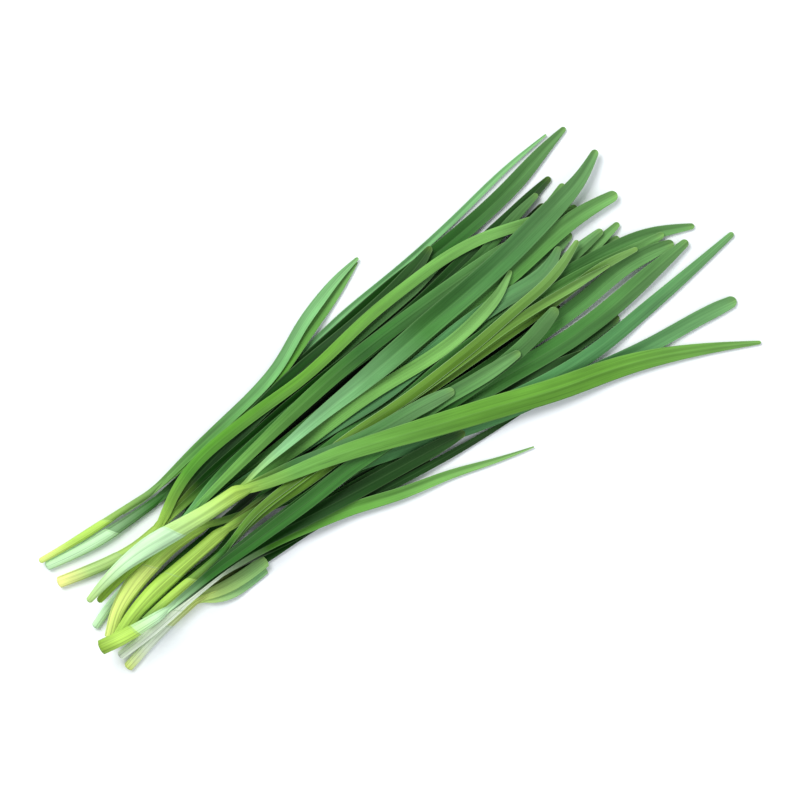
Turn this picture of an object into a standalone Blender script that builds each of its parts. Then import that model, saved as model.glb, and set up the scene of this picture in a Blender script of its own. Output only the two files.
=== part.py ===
"""A loose bunch of flat-leaved chives lying on a table: leafy shoots with pale stems, piled on one another.

Each shoot is one grown piece, so it is one object: a stem with its leaves fused into it. The shoots are laid
down one after another, and every leaf is settled on what already lies under it.
"""

import math

import bmesh
import bpy
import numpy as np

# Plan of the bunch. Routes are drawn on a square board, x to the right and y down, in steps of PLAN_STEP.
PLAN_STEP = 0.4  # mm in one step of the board, which sets the size of the whole bunch
BOARD_SIDE = 800  # steps
LAY_ANGLE = math.radians(35.0)  # the bunch lies across the board at this slope, and along X once turned

# Sizes, in millimetres
MM = 0.001
BLADE_THICKNESS = 0.75  # at the midrib; the margins run out to an edge
LEAST_HALF_WIDTH = 0.45
ROOT_HALF_WIDTH = 1.4  # of a leaf where it is still inside its stem
ROOT_DEPTH = 13.0  # how far a leaf runs inside its stem
NECK_STEP = 7.0  # from the neck of a stem to a leaf's first section outside it
BLADE_STEP = 14.0  # between the other sections of a leaf
TIP_STEPS = (9.0, 3.4, 0.9, 0.0)  # the last sections of a leaf, measured back from its tip
TIP_SPAN = 18.0  # the length over which a common leaf narrows to its tip
CUT_OFF = 1.0  # and one that was cut off
BLUNTNESS = 0.5  # the share of its width that a common leaf still has where its tip is rounded off
STEM_STEP = 11.0  # between the sections of a stem
STEM_SIDES = 2  # bevel resolution, which gives eight sides
STEM_FULL_AT = 0.45  # how far along it a stem is thickest
NECK_TAPER = 0.8  # a stem's radius at its neck, as a share of its thickest
SIBLING_RISE = 0.55  # between the roots of two leaves in one stem
CLEARANCE = 0.2  # left between a leaf and what it lies on
SIDE_CLEARANCE = 0.2  # and beside it
SIBLING_GAP = 0.05  # between two leaves of one shoot, once they have left its neck
NEST_DEPTH = 0.9  # how far they run into each other at the neck
NEST_SPAN = 80.0  # and the length over which they part
PRESSED_FLAT = 0.3  # how much of a stem's underside is flat where it rests on the table

# How the leaves bend
LEAF_BEND = 110.0  # tightest radius of a leaf seen from the side
STEM_BEND = 150.0  # tightest radius of a stem
NECK_SLOPE = 0.16  # steepest climb of a leaf out of its neck
FOLD_AT_ROOT = 0.35  # slope of each half of a blade where it leaves the stem
FOLD_OPEN = 0.2  # and in the open blade
FOLD_SPAN = 90.0  # the fold opens over this length
LEAN_SHARE = 0.75  # how far each half takes the slope of what it lies on
LEAN_SPREAD = 14.0
MOST_LEAN = 0.6
MOST_DROOP = 0.25
CELL = 0.5  # side of a cell in the height map of the pile
FINE_STEP = 0.45  # spacing of the points that feel the pile
FEELERS = (-1.0, -0.8, -0.6, -0.2, 0.0, 0.2, 0.6, 0.8, 1.0)  # where a leaf feels what it leans on
OUTER_FEELERS = 0.5  # beyond this share of the half width they lean that half
SAMPLES_ACROSS = 13  # and how many of them there are across a leaf or a stem
STEM_REACH = 1.15  # how far out they go beside a stem, in radii
DRAWN_STEP = 0.25  # spacing of the points that a route is drawn with
SETTLING_TURNS = 40
NOTHING = -1000.0
SHARP_ANGLE = math.radians(40.0)
WELD = 0.00001  # m
TABLE_BLOCK = (1.0, 1.0, 0.02)  # m


def leaf(width, route, tip=TIP_SPAN, blunt=BLUNTNESS, neck=1.0, fold=1.0):
    """A leaf of this width in mm along a route, narrowing over the length tip to a round end.

    A neck below 1 makes it slimmer than most where it leaves its stem, and one over 1 makes it broader.
    """
    return {"width": width, "route": route, "tip": tip, "blunt": blunt, "neck": neck, "fold": fold}


# The shoots from the bottom of the pile to its top: name, stem radius in mm at its cut end and at its
# thickest, stem route, and leaves from the lowest up.
SHOOTS = [
    ("shoot_under_left", (1.2, 1.7), [(99, 597), (123, 573), (151, 549), (178, 525)], [
        leaf(8.0, [(213, 480), (266, 429), (324, 377), (384, 323), (435, 277), (475, 240)]),
        leaf(7.0, [(217, 490), (272, 442), (334, 388), (390, 337), (446, 280), (500, 232)]),
        leaf(7.5, [(220, 493), (285, 450), (350, 402), (420, 350), (480, 300), (530, 255)]),
    ]),
    ("shoot_under_middle", (1.8, 2.1), [(120, 632), (142, 601), (168, 571), (199, 543)], [
        leaf(7.0, [(240, 517), (305, 480), (380, 440), (450, 400), (510, 362)]),
        leaf(7.5, [(238, 515), (300, 472), (370, 425), (440, 380), (505, 340), (560, 305)]),
        leaf(7.5, [(236, 512), (295, 462), (360, 405), (425, 345), (475, 292), (515, 243), (546, 203)]),
    ]),
    ("shoot_right_edge_low", (1.7, 1.9), [(127, 668), (145, 648), (165, 628), (194, 602)], [
        leaf(6.5, [(250, 566), (310, 525), (370, 492), (430, 460)]),
        leaf(6.4, [(222, 595), (244, 583), (264, 567)], tip=CUT_OFF, blunt=0.8),
        leaf(5.6, [(224, 588), (246, 575), (266, 560)], tip=CUT_OFF, blunt=0.8),
    ]),
    ("shoot_right_edge", (1.6, 2.0), [(120, 656), (148, 634), (180, 606), (212, 580)], [
        leaf(3.2, [(250, 560), (300, 535), (350, 508), (400, 482), (450, 455), (490, 432), (525, 411)],
             tip=40.0, blunt=0.3),
        leaf(7.0, [(250, 553), (310, 518), (370, 475), (440, 432), (500, 394), (560, 354), (620, 316)]),
        leaf(5.0, [(250, 550), (310, 512), (370, 478), (440, 438), (500, 402), (530, 384), (553, 369)]),
        leaf(5.4, [(240, 562), (275, 542), (315, 524), (355, 508), (400, 494), (450, 475), (495, 461),
                   (535, 447)], tip=75.0, blunt=0.12, fold=1.4),
    ]),
    ("shoot_left_edge", (1.9, 2.3), [(46, 566), (82, 549), (120, 526), (150, 505)], [
        leaf(2.9, [(195, 462), (240, 415), (290, 366), (340, 317), (387, 278), (430, 241), (469, 204),
                   (506, 168), (547, 133)], tip=40.0, blunt=0.3, fold=1.6),
        leaf(6.5, [(200, 468), (250, 425), (300, 382), (350, 340), (400, 298), (440, 262)]),
        leaf(7.3, [(200, 462), (245, 420), (295, 372), (345, 328), (396, 284), (441, 249), (481, 215),
                   (517, 180), (546, 147), (566, 126)], tip=32.0, blunt=0.3),
    ]),
    ("shoot_left_edge_slim", (1.0, 1.5), [(40, 561), (75, 541), (112, 517), (148, 494)], [
        leaf(4.4, [(184, 464), (222, 431), (256, 400), (285, 366), (309, 331), (332, 298), (357, 261)],
             tip=25.0, blunt=0.25),
        leaf(4.9, [(183, 461), (220, 426), (252, 396), (279, 364), (301, 326), (320, 299), (338, 277),
                   (358, 257)], tip=30.0, blunt=0.3),
    ]),
    ("shoot_yellow_stem", (2.1, 2.2), [(58, 583), (98, 567), (130, 550), (156, 529)], [
        leaf(7.2, [(185, 490), (225, 447), (265, 405), (305, 368), (345, 335), (385, 300), (412, 272),
                   (431, 246)], blunt=0.35),
        leaf(5.2, [(195, 488), (240, 448), (290, 405), (340, 366), (390, 328), (435, 288), (475, 248),
                   (515, 211), (551, 176)]),
        leaf(4.6, [(200, 490), (250, 447), (300, 404), (350, 366), (400, 330), (440, 294), (480, 257),
                   (510, 222), (538, 193)]),
        leaf(4.7, [(172, 498), (195, 464), (228, 434), (265, 406), (303, 378), (338, 346), (372, 314),
                   (408, 285), (445, 258), (485, 237), (530, 222), (578, 206)],
             tip=20.0, blunt=0.6, neck=1.7),
    ]),
    ("shoot_olive_right", (1.6, 1.9), [(136, 627), (160, 603), (186, 580), (213, 558)], [
        leaf(7.2, [(260, 505), (320, 455), (380, 405), (440, 355), (500, 300), (545, 258), (572, 232)]),
        leaf(5.2, [(260, 508), (320, 462), (380, 415), (440, 368), (500, 322), (550, 285), (590, 258),
                   (620, 236)]),
        leaf(5.0, [(258, 506), (318, 460), (378, 412), (438, 365), (498, 320), (548, 283), (590, 250),
                   (620, 222)]),
        leaf(5.8, [(255, 505), (310, 462), (365, 420), (420, 378), (470, 338), (520, 298), (565, 261),
                   (603, 229)]),
    ]),
    ("shoot_mint_short", (1.4, 1.7), [(94, 627), (109, 606), (134, 579), (164, 550)], [
        leaf(6.2, [(205, 505), (260, 462), (330, 408), (400, 352), (460, 303), (510, 262), (548, 228),
                   (580, 212)]),
        leaf(7.6, [(208, 508), (260, 470), (310, 432), (360, 396), (410, 358), (455, 322), (495, 288),
                   (535, 252), (575, 218), (618, 193)], tip=30.0, blunt=0.6),
        leaf(7.0, [(210, 508), (265, 470), (325, 430), (385, 392), (435, 350), (480, 315), (520, 290),
                   (545, 272), (560, 246)], blunt=0.35),
        leaf(5.6, [(212, 506), (255, 476), (300, 446), (345, 412), (385, 385), (425, 361), (458, 337),
                   (484, 312), (500, 292), (511, 270)], tip=24.0, blunt=0.3, neck=0.6),
    ]),
    ("shoot_thick_stem", (2.2, 3.5), [(110, 637), (120, 606), (141, 575), (170, 547), (192, 531)], [
        leaf(6.4, [(225, 520), (285, 500), (350, 470), (430, 430), (500, 395), (550, 370), (587, 352)],
             neck=0.7),
        leaf(6.2, [(228, 520), (288, 496), (350, 468), (420, 437), (490, 408), (545, 382), (590, 355),
                   (640, 315), (690, 272), (735, 232)], tip=60.0, blunt=0.4, neck=0.7),
        leaf(6.4, [(228, 519), (285, 497), (345, 470), (415, 445), (480, 423), (545, 395), (600, 369),
                   (655, 343), (700, 318), (738, 299)], tip=12.0, blunt=0.72, neck=0.7),
    ]),
    ("shoot_green_stem", (2.3, 3.2), [(117, 640), (136, 612), (165, 582), (200, 551), (216, 537)], [
        leaf(6.4, [(245, 512), (290, 482), (345, 445), (400, 405), (450, 362), (500, 325), (550, 285),
                   (600, 256), (650, 234), (696, 225)], tip=30.0, blunt=0.38, neck=0.7),
        leaf(5.6, [(245, 514), (300, 480), (360, 440), (420, 395), (480, 345), (540, 300), (600, 266),
                   (640, 247), (665, 233)], neck=0.7),
        leaf(7.2, [(247, 514), (305, 480), (360, 448), (420, 412), (480, 375), (534, 337), (587, 298),
                   (632, 262), (675, 242)], neck=0.7),
        leaf(8.2, [(248, 516), (300, 490), (350, 462), (400, 433), (455, 406), (510, 374), (560, 345),
                   (605, 313), (650, 274), (689, 240)], tip=38.0, blunt=0.42, neck=0.7),
    ]),
    ("shoot_olive_left", (1.6, 1.8), [(146, 620), (168, 600), (194, 578), (222, 553)], [
        leaf(3.9, [(253, 522), (305, 485), (355, 446), (410, 404), (465, 365), (515, 330), (560, 298),
                   (600, 268), (638, 248)], fold=2.6),
        leaf(3.7, [(252, 520), (300, 480), (355, 438), (410, 398), (460, 362), (510, 325), (560, 294),
                   (610, 265)], tip=20.0, blunt=0.35, fold=2.6),
        leaf(4.2, [(250, 518), (295, 480), (345, 440), (400, 403), (440, 373), (480, 341), (520, 306),
                   (552, 277), (578, 240)], tip=16.0, fold=-1.5),
    ]),
    ("shoot_across_base", (2.8, 2.6), [(103, 646), (122, 637), (140, 627), (158, 616)], [
        leaf(6.5, [(190, 593), (215, 572), (245, 550), (290, 526), (350, 495), (410, 462), (465, 432)],
             neck=0.7),
        leaf(6.4, [(190, 592), (215, 569), (248, 542), (290, 512), (340, 476), (395, 438), (450, 402),
                   (495, 370), (530, 340), (557, 308)], tip=12.0, blunt=0.65, neck=0.7),
        leaf(6.2, [(190, 591), (217, 569), (250, 545), (282, 521), (315, 496), (350, 468), (390, 440),
                   (430, 408), (475, 381), (520, 352)], neck=0.7),
    ]),
    ("shoot_mint_back", (1.1, 2.3), [(100, 600), (122, 575), (150, 549), (180, 524)], [
        leaf(5.2, [(207, 490), (240, 456), (290, 413), (340, 373), (390, 334), (435, 299), (476, 270),
                   (516, 243), (545, 212), (564, 183)]),
        leaf(6.4, [(208, 496), (239, 465), (275, 430), (317, 391), (360, 354), (403, 321), (444, 291),
                   (486, 262), (530, 234)], neck=0.7),
    ]),
    ("shoot_mint_front", (1.1, 3.7), [(91, 599), (115, 573), (145, 549), (178, 529), (209, 511),
                                      (236, 493)], [
        leaf(9.5, [(254, 474), (285, 446), (321, 415), (357, 386), (395, 354), (433, 321), (474, 286),
                   (514, 249), (551, 211), (579, 180), (597, 149)], tip=42.0, blunt=0.32, neck=0.3),
        leaf(6.4, [(262, 481), (300, 464), (340, 449), (380, 430), (415, 410), (454, 390)],
             tip=14.0, blunt=0.55),
        leaf(9.6, [(260, 485), (295, 472), (335, 456), (385, 440), (440, 424), (500, 406), (560, 388),
                   (620, 367), (690, 351), (763, 342)], tip=85.0, blunt=0.16, neck=0.8),
    ]),
]

# Each shoot's colour on the whole, as seen on a screen.
COLOURS = {
    "shoot_under_left": (52, 98, 48),
    "shoot_under_middle": (50, 95, 45),
    "shoot_right_edge_low": (120, 170, 95),
    "shoot_right_edge": (70, 125, 60),
    "shoot_left_edge": (66, 120, 66),
    "shoot_left_edge_slim": (95, 160, 110),
    "shoot_yellow_stem": (80, 140, 62),
    "shoot_olive_right": (85, 140, 60),
    "shoot_mint_short": (88, 150, 66),
    "shoot_thick_stem": (78, 140, 80),
    "shoot_green_stem": (70, 125, 62),
    "shoot_olive_left": (98, 140, 48),
    "shoot_across_base": (66, 115, 60),
    "shoot_mint_back": (62, 115, 66),
    "shoot_mint_front": (100, 160, 62),
}
LEAF_ROUGHNESS = 0.45
SCREEN_GAMMA = 2.2

# The share of a leaf's full half width along the open part of it, before its tip is narrowed.
NECK_REACH = 0.4  # a slim or broad neck reaches this far along the leaf
WIDTH_ALONG = ((0.0, 0.48), (0.08, 0.6), (0.2, 0.78), (0.35, 0.92), (0.5, 1.0), (0.75, 0.98),
               (1.0, 0.94))


def on_table(points):
    """Points of the board, in steps, as millimetres in the bunch's own plan, with X along the bunch."""
    board = np.array(points, float) * PLAN_STEP * (1, -1)
    c, s = math.cos(LAY_ANGLE), math.sin(LAY_ANGLE)
    return board @ np.array([[c, -s], [s, c]])


def smooth_route(points, step=1.0):
    """A natural cubic spline through the points, as points spaced evenly along it."""
    gaps = np.linalg.norm(np.diff(points, axis=0), axis=1)
    at = np.concatenate([[0], np.cumsum(gaps)])
    count = len(points)
    system = np.eye(count)
    wanted = np.zeros((count, 2))
    for i in range(1, count - 1):
        before, after = gaps[i - 1], gaps[i]
        system[i, i - 1 : i + 2] = before, 2 * (before + after), after
        wanted[i] = 6 * ((points[i + 1] - points[i]) / after - (points[i] - points[i - 1]) / before)
    bend = np.linalg.solve(system, wanted)
    t = np.linspace(0, at[-1], int(at[-1] / DRAWN_STEP) + 2)
    i = np.clip(np.searchsorted(at, t, side="right") - 1, 0, count - 2)
    h = gaps[i][:, None]
    a = (at[i + 1] - t)[:, None]
    b = (t - at[i])[:, None]
    curve = (
        (bend[i] * a**3 + bend[i + 1] * b**3) / (6 * h)
        + (points[i] / h - bend[i] * h / 6) * a
        + (points[i + 1] / h - bend[i + 1] * h / 6) * b
    )
    along = np.concatenate([[0], np.cumsum(np.linalg.norm(np.diff(curve, axis=0), axis=1))])
    even = np.linspace(0, along[-1], int(along[-1] / step) + 2)
    return np.column_stack([np.interp(even, along, curve[:, k]) for k in (0, 1)]), even


def at_length(route, lengths, wanted):
    """Points of a route at these lengths along it."""
    return np.column_stack([np.interp(wanted, lengths, route[:, k]) for k in (0, 1)])


def sideways(points):
    """Unit vectors in plan to the left of a line of points."""
    ahead = np.gradient(points, axis=0)
    ahead /= np.linalg.norm(ahead, axis=1)[:, None]
    return np.column_stack([-ahead[:, 1], ahead[:, 0]])


def smoothed(values, spread):
    """Values blurred along their list with a bell curve of this spread, in samples."""
    reach = int(3 * spread) + 1
    bell = np.exp(-0.5 * (np.arange(-reach, reach + 1) / spread) ** 2)
    padded = np.pad(values, reach, mode="edge")
    return np.convolve(padded, bell / bell.sum(), mode="valid")


class Pile:
    """A height map of what has been laid down, in millimetres above the table."""

    def __init__(self, low, count, height):
        self.low, self.count = low, count
        self.top = np.full(count, height)
        self.widened = self.top

    def blank(self):
        """A map of the same place with nothing on it, not even the table."""
        return Pile(self.low, self.count, NOTHING)

    def cells(self, xy):
        found = ((xy - self.low) / CELL).astype(int)
        return tuple(np.clip(found, 0, self.count - 1).reshape(-1, 2).T)

    def under(self, xy):
        """The highest thing in the cell at each place and in the cells round it."""
        return self.widened[self.cells(xy)].reshape(xy.shape[:-1])

    def add(self, xy, z):
        np.maximum.at(self.top, self.cells(xy), z.reshape(-1))

    def widen(self):
        high = self.top.copy()
        for axis in (0, 1):
            ahead, behind = np.roll(high, 1, axis), np.roll(high, -1, axis)
            high = np.maximum(high, np.maximum(ahead, behind))
        self.widened = high


def draped(needed, at, bend):
    """The lowest line over the needed heights that bends no tighter than this radius."""
    gap = at[:, None] - at[None, :]
    return (needed[None, :] - gap**2 / (2 * bend)).max(axis=1)


def lowered(needed, at, stations, start, held):
    """Station heights from a starting line, as low as its straight pieces can be over the needed heights.

    The first stations, as many as held, stay where they are.
    """
    heights = start.copy()
    pieces = []
    for i in range(len(stations) - 1):
        inside = (at > stations[i]) & (at <= stations[i + 1])
        if inside.any() and i + 1 >= held:
            share = (at[inside] - stations[i]) / (stations[i + 1] - stations[i])
            pieces.append((i, share, needed[inside]))
    for turn in range(SETTLING_TURNS):
        last = turn == SETTLING_TURNS - 1
        for i, share, wanted in pieces:
            short = wanted - heights[i] * (1 - share) - heights[i + 1] * share
            worst = short.argmax()
            if short[worst] <= 0:
                continue
            near, far = 1 - share[worst], share[worst]
            if i < held:
                heights[i + 1] += (short / share).max()
            elif last:
                heights[i : i + 2] += short[worst]
            else:
                heights[i] += short[worst] * near / (near**2 + far**2)
                heights[i + 1] += short[worst] * far / (near**2 + far**2)
    return heights


def half_widths(spec, stations, root_end, least=LEAST_HALF_WIDTH):
    """The half width of a leaf at its stations, in mm: a narrow neck, a full middle and a round tip."""
    length = stations[-1]
    open_share = np.clip((stations - root_end) / (length - root_end), 0, 1)
    left = length - stations
    taper = np.sin(np.clip(left / spec["tip"], 0, 1) * math.pi / 2)
    narrowed = spec["blunt"] + (1 - spec["blunt"]) * taper
    round_end = min(spec["blunt"] * spec["width"] / 2, spec["tip"])
    rounded = np.sqrt(1 - (1 - np.clip(left / round_end, 0, 1)) ** 2)
    along = np.interp(open_share, *zip(*WIDTH_ALONG))
    slimmed = np.interp(open_share, (0, NECK_REACH), (spec["neck"], 1))
    open_half = along * slimmed * narrowed * rounded * spec["width"] / 2
    outside = np.clip((stations - root_end) / NECK_STEP, 0, 1)
    return ROOT_HALF_WIDTH + (np.maximum(open_half, least) - ROOT_HALF_WIDTH) * outside


def blade_plan(spec, stem_route):
    """The plan of a leaf at its stations: where it runs, its half widths as vectors, and its own fold."""
    route, lengths = smooth_route(on_table(stem_route[-2:] + spec["route"]))
    neck_gap = np.linalg.norm(on_table([stem_route[-1]]) - route, axis=1)
    neck = lengths[neck_gap.argmin()]
    start = neck - min(ROOT_DEPTH, neck)
    total = lengths[-1] - start
    body = total - TIP_STEPS[0]
    root_end = neck - start
    first = root_end + NECK_STEP
    count = max(2, round((body - first) / BLADE_STEP))
    outside = np.linspace(first, body, count + 1)
    stations = np.concatenate([[0, root_end], outside, total - np.array(TIP_STEPS[1:])])
    points = at_length(route, lengths, start + stations)
    half = half_widths(spec, stations, root_end)
    opened = np.clip((stations - root_end) / FOLD_SPAN, 0, 1)
    fold = FOLD_AT_ROOT + (FOLD_OPEN * spec["fold"] - FOLD_AT_ROOT) * opened
    out = sideways(points) * half[:, None]
    return {"at": stations, "points": points, "half": half, "out": out, "fold": fold, "root_end": root_end}


def between(blade, at, key):
    """Values of a blade between its stations."""
    values = blade[key]
    if values.ndim == 1:
        return np.interp(at, blade["at"], values)
    return np.column_stack([np.interp(at, blade["at"], values[:, k]) for k in (0, 1)])


def fold_over(blade, pile, own):
    """Leans the two halves of a blade, station by station, on what lies under them."""
    at = np.arange(0, blade["at"][-1], FINE_STEP)
    points, out = between(blade, at, "points"), between(blade, at, "out")
    across = np.array(FEELERS)
    xy = points[:, None, :] + out[:, None, :] * across[:, None]
    below = np.maximum(pile.under(xy), own.under(xy))
    middle = below[:, abs(across) < OUTER_FEELERS].max(axis=1)
    half = np.linalg.norm(out, axis=1)
    for key, side in (("left", across > OUTER_FEELERS), ("right", across < -OUTER_FEELERS)):
        rise = (below[:, side].mean(axis=1) - middle) / (abs(across[side]).mean() * half)
        lean = np.interp(blade["at"], at, smoothed(rise, LEAN_SPREAD / FINE_STEP))
        slope = np.clip(blade["fold"] + LEAN_SHARE * lean, -MOST_DROOP, MOST_LEAN)
        slope[:2] = 0
        blade[key] = slope * blade["half"]


def blade_needs(blade, pile, own):
    """Places along a blade, and how high its spine has to be at each to clear the pile."""
    at = np.arange(0, blade["at"][-1], FINE_STEP)
    points, out = between(blade, at, "points"), between(blade, at, "out")
    left, right = between(blade, at, "left"), between(blade, at, "right")
    share = np.linspace(-1, 1, SAMPLES_ACROSS)
    half = np.linalg.norm(out, axis=1)
    # The outermost places stand a little outside the margins, so that neighbours also clear each other.
    wide = share[None, :] * (1 + SIDE_CLEARANCE / half)[:, None]
    xy = points[:, None, :] + out[:, None, :] * wide[..., None]
    rise = np.where(share > 0, left[:, None], right[:, None]) * np.abs(share)
    underside = rise - BLADE_THICKNESS * (1 - np.abs(share))
    beyond = at - blade["root_end"]
    nested = np.interp(beyond, (0, NEST_SPAN), (-NEST_DEPTH, SIBLING_GAP))
    needed = np.maximum(
        (pile.under(xy) + CLEARANCE - underside).max(axis=1),
        (own.under(xy) - underside).max(axis=1) + nested,
    )
    return at, needed


def lay_blade(blade, own):
    """Marks the top of a settled blade on its shoot's height map."""
    at = np.arange(0, blade["at"][-1], FINE_STEP)
    share = np.linspace(-1, 1, 2 * SAMPLES_ACROSS - 1)
    points, out = between(blade, at, "points"), between(blade, at, "out")
    left, right = between(blade, at, "left"), between(blade, at, "right")
    xy = points[:, None, :] + out[:, None, :] * share[:, None]
    rise = np.where(share > 0, left[:, None], right[:, None]) * np.abs(share)
    own.add(xy, between(blade, at, "spine")[:, None] + rise)
    own.widen()


def settle_shoot(pile, stem_radii, stem_route, specs):
    """Lays one shoot on the pile. Returns its stem's points and radii, and its blades with their heights."""
    stem_plan, lengths = smooth_route(on_table(stem_route))
    total = lengths[-1]
    stations = np.linspace(0, total, max(3, round(total / STEM_STEP)) + 1)
    at_cut, thickest = stem_radii
    radii = np.interp(stations / total, (0, STEM_FULL_AT, 1), (at_cut, thickest, thickest * NECK_TAPER))
    at = np.arange(0, total, FINE_STEP)
    radius = np.interp(at, stations, radii)[:, None]
    points = at_length(stem_plan, lengths, at)
    share = np.linspace(-STEM_REACH, STEM_REACH, SAMPLES_ACROSS)
    xy = points[:, None, :] + sideways(points)[:, None, :] * (share * radius)[..., None]
    below = pile.under(xy)
    back = np.sqrt(np.clip(1 - share**2, 0, 1)) * radius
    needed = np.where(below <= -CLEARANCE, back - PRESSED_FLAT, below + CLEARANCE + back).max(axis=1)

    own = pile.blank()
    blades = [blade_plan(spec, stem_route) for spec in specs]
    offsets = (np.arange(len(blades)) - (len(blades) - 1) / 2) * SIBLING_RISE
    neck = needed[-1]
    for blade, offset in zip(blades, offsets):
        fold_over(blade, pile, own)
        along, wanted = blade_needs(blade, pile, own)
        beyond = along - blade["root_end"]
        lift = wanted - NECK_SLOPE * beyond - beyond**2 / (2 * LEAF_BEND)
        neck = max(neck, lift[beyond > 0].max() - offset)
    all_at, all_needed = np.append(at, total), np.append(needed, neck)
    start = np.interp(stations, all_at, draped(all_needed, all_at, STEM_BEND))
    heights = lowered(all_needed, all_at, stations, start, 0)
    stem = np.column_stack([at_length(stem_plan, lengths, stations), heights])

    for blade, offset in zip(blades, offsets):
        fold_over(blade, pile, own)
        along, wanted = blade_needs(blade, pile, own)
        beyond = along - blade["root_end"]
        fall = heights[-1] + offset - beyond**2 / (2 * LEAF_BEND)
        lowest = np.where(beyond > 0, np.maximum(wanted, fall), fall)
        spine = np.interp(blade["at"], along, draped(lowest, along, LEAF_BEND))
        spine[0] = np.interp(total - blade["root_end"], stations, heights) + offset
        spine[1] = heights[-1] + offset
        blade["spine"] = lowered(wanted, along, blade["at"], spine, 2)
        lay_blade(blade, own)
    pile.top = np.maximum(pile.top, own.top)
    share = np.linspace(-1, 1, 2 * SAMPLES_ACROSS - 1)
    xy = points[:, None, :] + sideways(points)[:, None, :] * (share * radius)[..., None]
    back = np.sqrt(1 - share**2) * radius
    pile.add(xy, np.interp(at, stations, heights)[:, None] + back)
    pile.widen()
    return stem, radii, blades


def new_object(name, mesh, collection):
    thing = bpy.data.objects.new(name, mesh)
    collection.objects.link(thing)
    return thing


def blade_object(name, blade, collection):
    """A leaf blade lofted through its sections: two margins, the face over the midrib and the keel below."""
    points, out, spine = blade["points"], blade["out"], blade["spine"]
    rings = np.empty((len(points), 4, 3))
    rings[:, 0] = np.column_stack([points + out, spine + blade["left"]])
    rings[:, 1] = np.column_stack([points, spine])
    rings[:, 2] = np.column_stack([points - out, spine + blade["right"]])
    rings[:, 3] = np.column_stack([points, spine - BLADE_THICKNESS])
    loft = bmesh.new()
    ring_verts = [[loft.verts.new(corner * MM) for corner in ring] for ring in rings]
    for near, far in zip(ring_verts, ring_verts[1:]):
        # The quads over and under the blade are split along the same diagonals, so the faces never cross.
        for i, j in ((0, 1), (2, 1), (0, 3), (2, 3)):
            loft.faces.new((near[i], near[j], far[j]))
            loft.faces.new((near[i], far[j], far[i]))
    loft.faces.new(ring_verts[0][::-1])
    loft.faces.new(ring_verts[-1])
    bmesh.ops.triangulate(loft, faces=[f for f in loft.faces if len(f.verts) > 3])
    bmesh.ops.recalc_face_normals(loft, faces=loft.faces)
    mesh = bpy.data.meshes.new(name)
    loft.to_mesh(mesh)
    loft.free()
    return new_object(name, mesh, collection)


def stem_object(name, stem, radii, collection):
    """A stem as a tapered tube with a cut end, made a mesh so that leaves can be joined to it."""
    curve = bpy.data.curves.new(name, "CURVE")
    curve.dimensions = "3D"
    curve.bevel_depth = MM
    curve.bevel_resolution = STEM_SIDES
    curve.use_fill_caps = True
    curve.twist_mode = "Z_UP"
    spline = curve.splines.new("POLY")
    spline.points.add(len(stem) - 1)
    for point, place, radius in zip(spline.points, stem, radii):
        point.co = (*(place * MM), 1.0)
        point.radius = radius
    tube = new_object(name + "_line", curve, collection)
    bpy.context.view_layer.update()
    mesh = bpy.data.meshes.new_from_object(tube.evaluated_get(bpy.context.evaluated_depsgraph_get()))
    bpy.data.objects.remove(tube)
    capped = bmesh.new()
    capped.from_mesh(mesh)
    bmesh.ops.remove_doubles(capped, verts=capped.verts, dist=WELD)
    bmesh.ops.recalc_face_normals(capped, faces=capped.faces)
    capped.to_mesh(mesh)
    capped.free()
    return new_object(name, mesh, collection)


def apply_boolean(thing, operation, **operand):
    """Adds a Boolean modifier to the object and makes its result the object's mesh."""
    modifier = thing.modifiers.new(operation.lower(), "BOOLEAN")
    modifier.operation = operation
    modifier.solver = "EXACT"
    for key, value in operand.items():
        setattr(modifier, key, value)
    bpy.context.view_layer.update()
    result = bpy.data.meshes.new_from_object(thing.evaluated_get(bpy.context.evaluated_depsgraph_get()))
    thing.modifiers.clear()
    thing.data = result


def table_block(collection):
    """A block whose top is the table, which cuts the pressed undersides flat."""
    block = bmesh.new()
    bmesh.ops.create_cube(block, size=1.0)
    bmesh.ops.scale(block, vec=TABLE_BLOCK, verts=block.verts)
    bmesh.ops.translate(block, vec=(0, 0, -TABLE_BLOCK[2] / 2), verts=block.verts)
    mesh = bpy.data.meshes.new("table_block")
    block.to_mesh(mesh)
    block.free()
    return new_object("table_block", mesh, collection)


def leaf_material(name, colour):
    """A waxy leaf in this colour, given as it is seen on a screen, from 0 to 255."""
    material = bpy.data.materials.new(name)
    material.use_nodes = True
    shader = material.node_tree.nodes["Principled BSDF"]
    shader.inputs["Base Color"].default_value = (*((value / 255) ** SCREEN_GAMMA for value in colour), 1.0)
    shader.inputs["Roughness"].default_value = LEAF_ROUGHNESS
    shader.inputs["Metallic"].default_value = 0.0
    return material


def build_shoot(name, stem, radii, blades, bunch, pieces):
    """One shoot: its stem with every leaf joined to it, and flat below where it presses on the table."""
    shoot = stem_object(name, stem, radii, bunch)
    leaves = bpy.data.collections.new(name + "_leaves")
    pieces.children.link(leaves)
    for i, blade in enumerate(blades):
        blade_object(f"{name}_leaf_{i + 1}", blade, leaves)
    apply_boolean(shoot, "UNION", operand_type="COLLECTION", collection=leaves)
    for blade_piece in list(leaves.objects):
        bpy.data.objects.remove(blade_piece)
    bpy.data.collections.remove(leaves)
    if min(v.co.z for v in shoot.data.vertices) < 0:
        block = table_block(pieces)
        apply_boolean(shoot, "DIFFERENCE", object=block)
        bpy.data.objects.remove(block)
    return shoot


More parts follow.
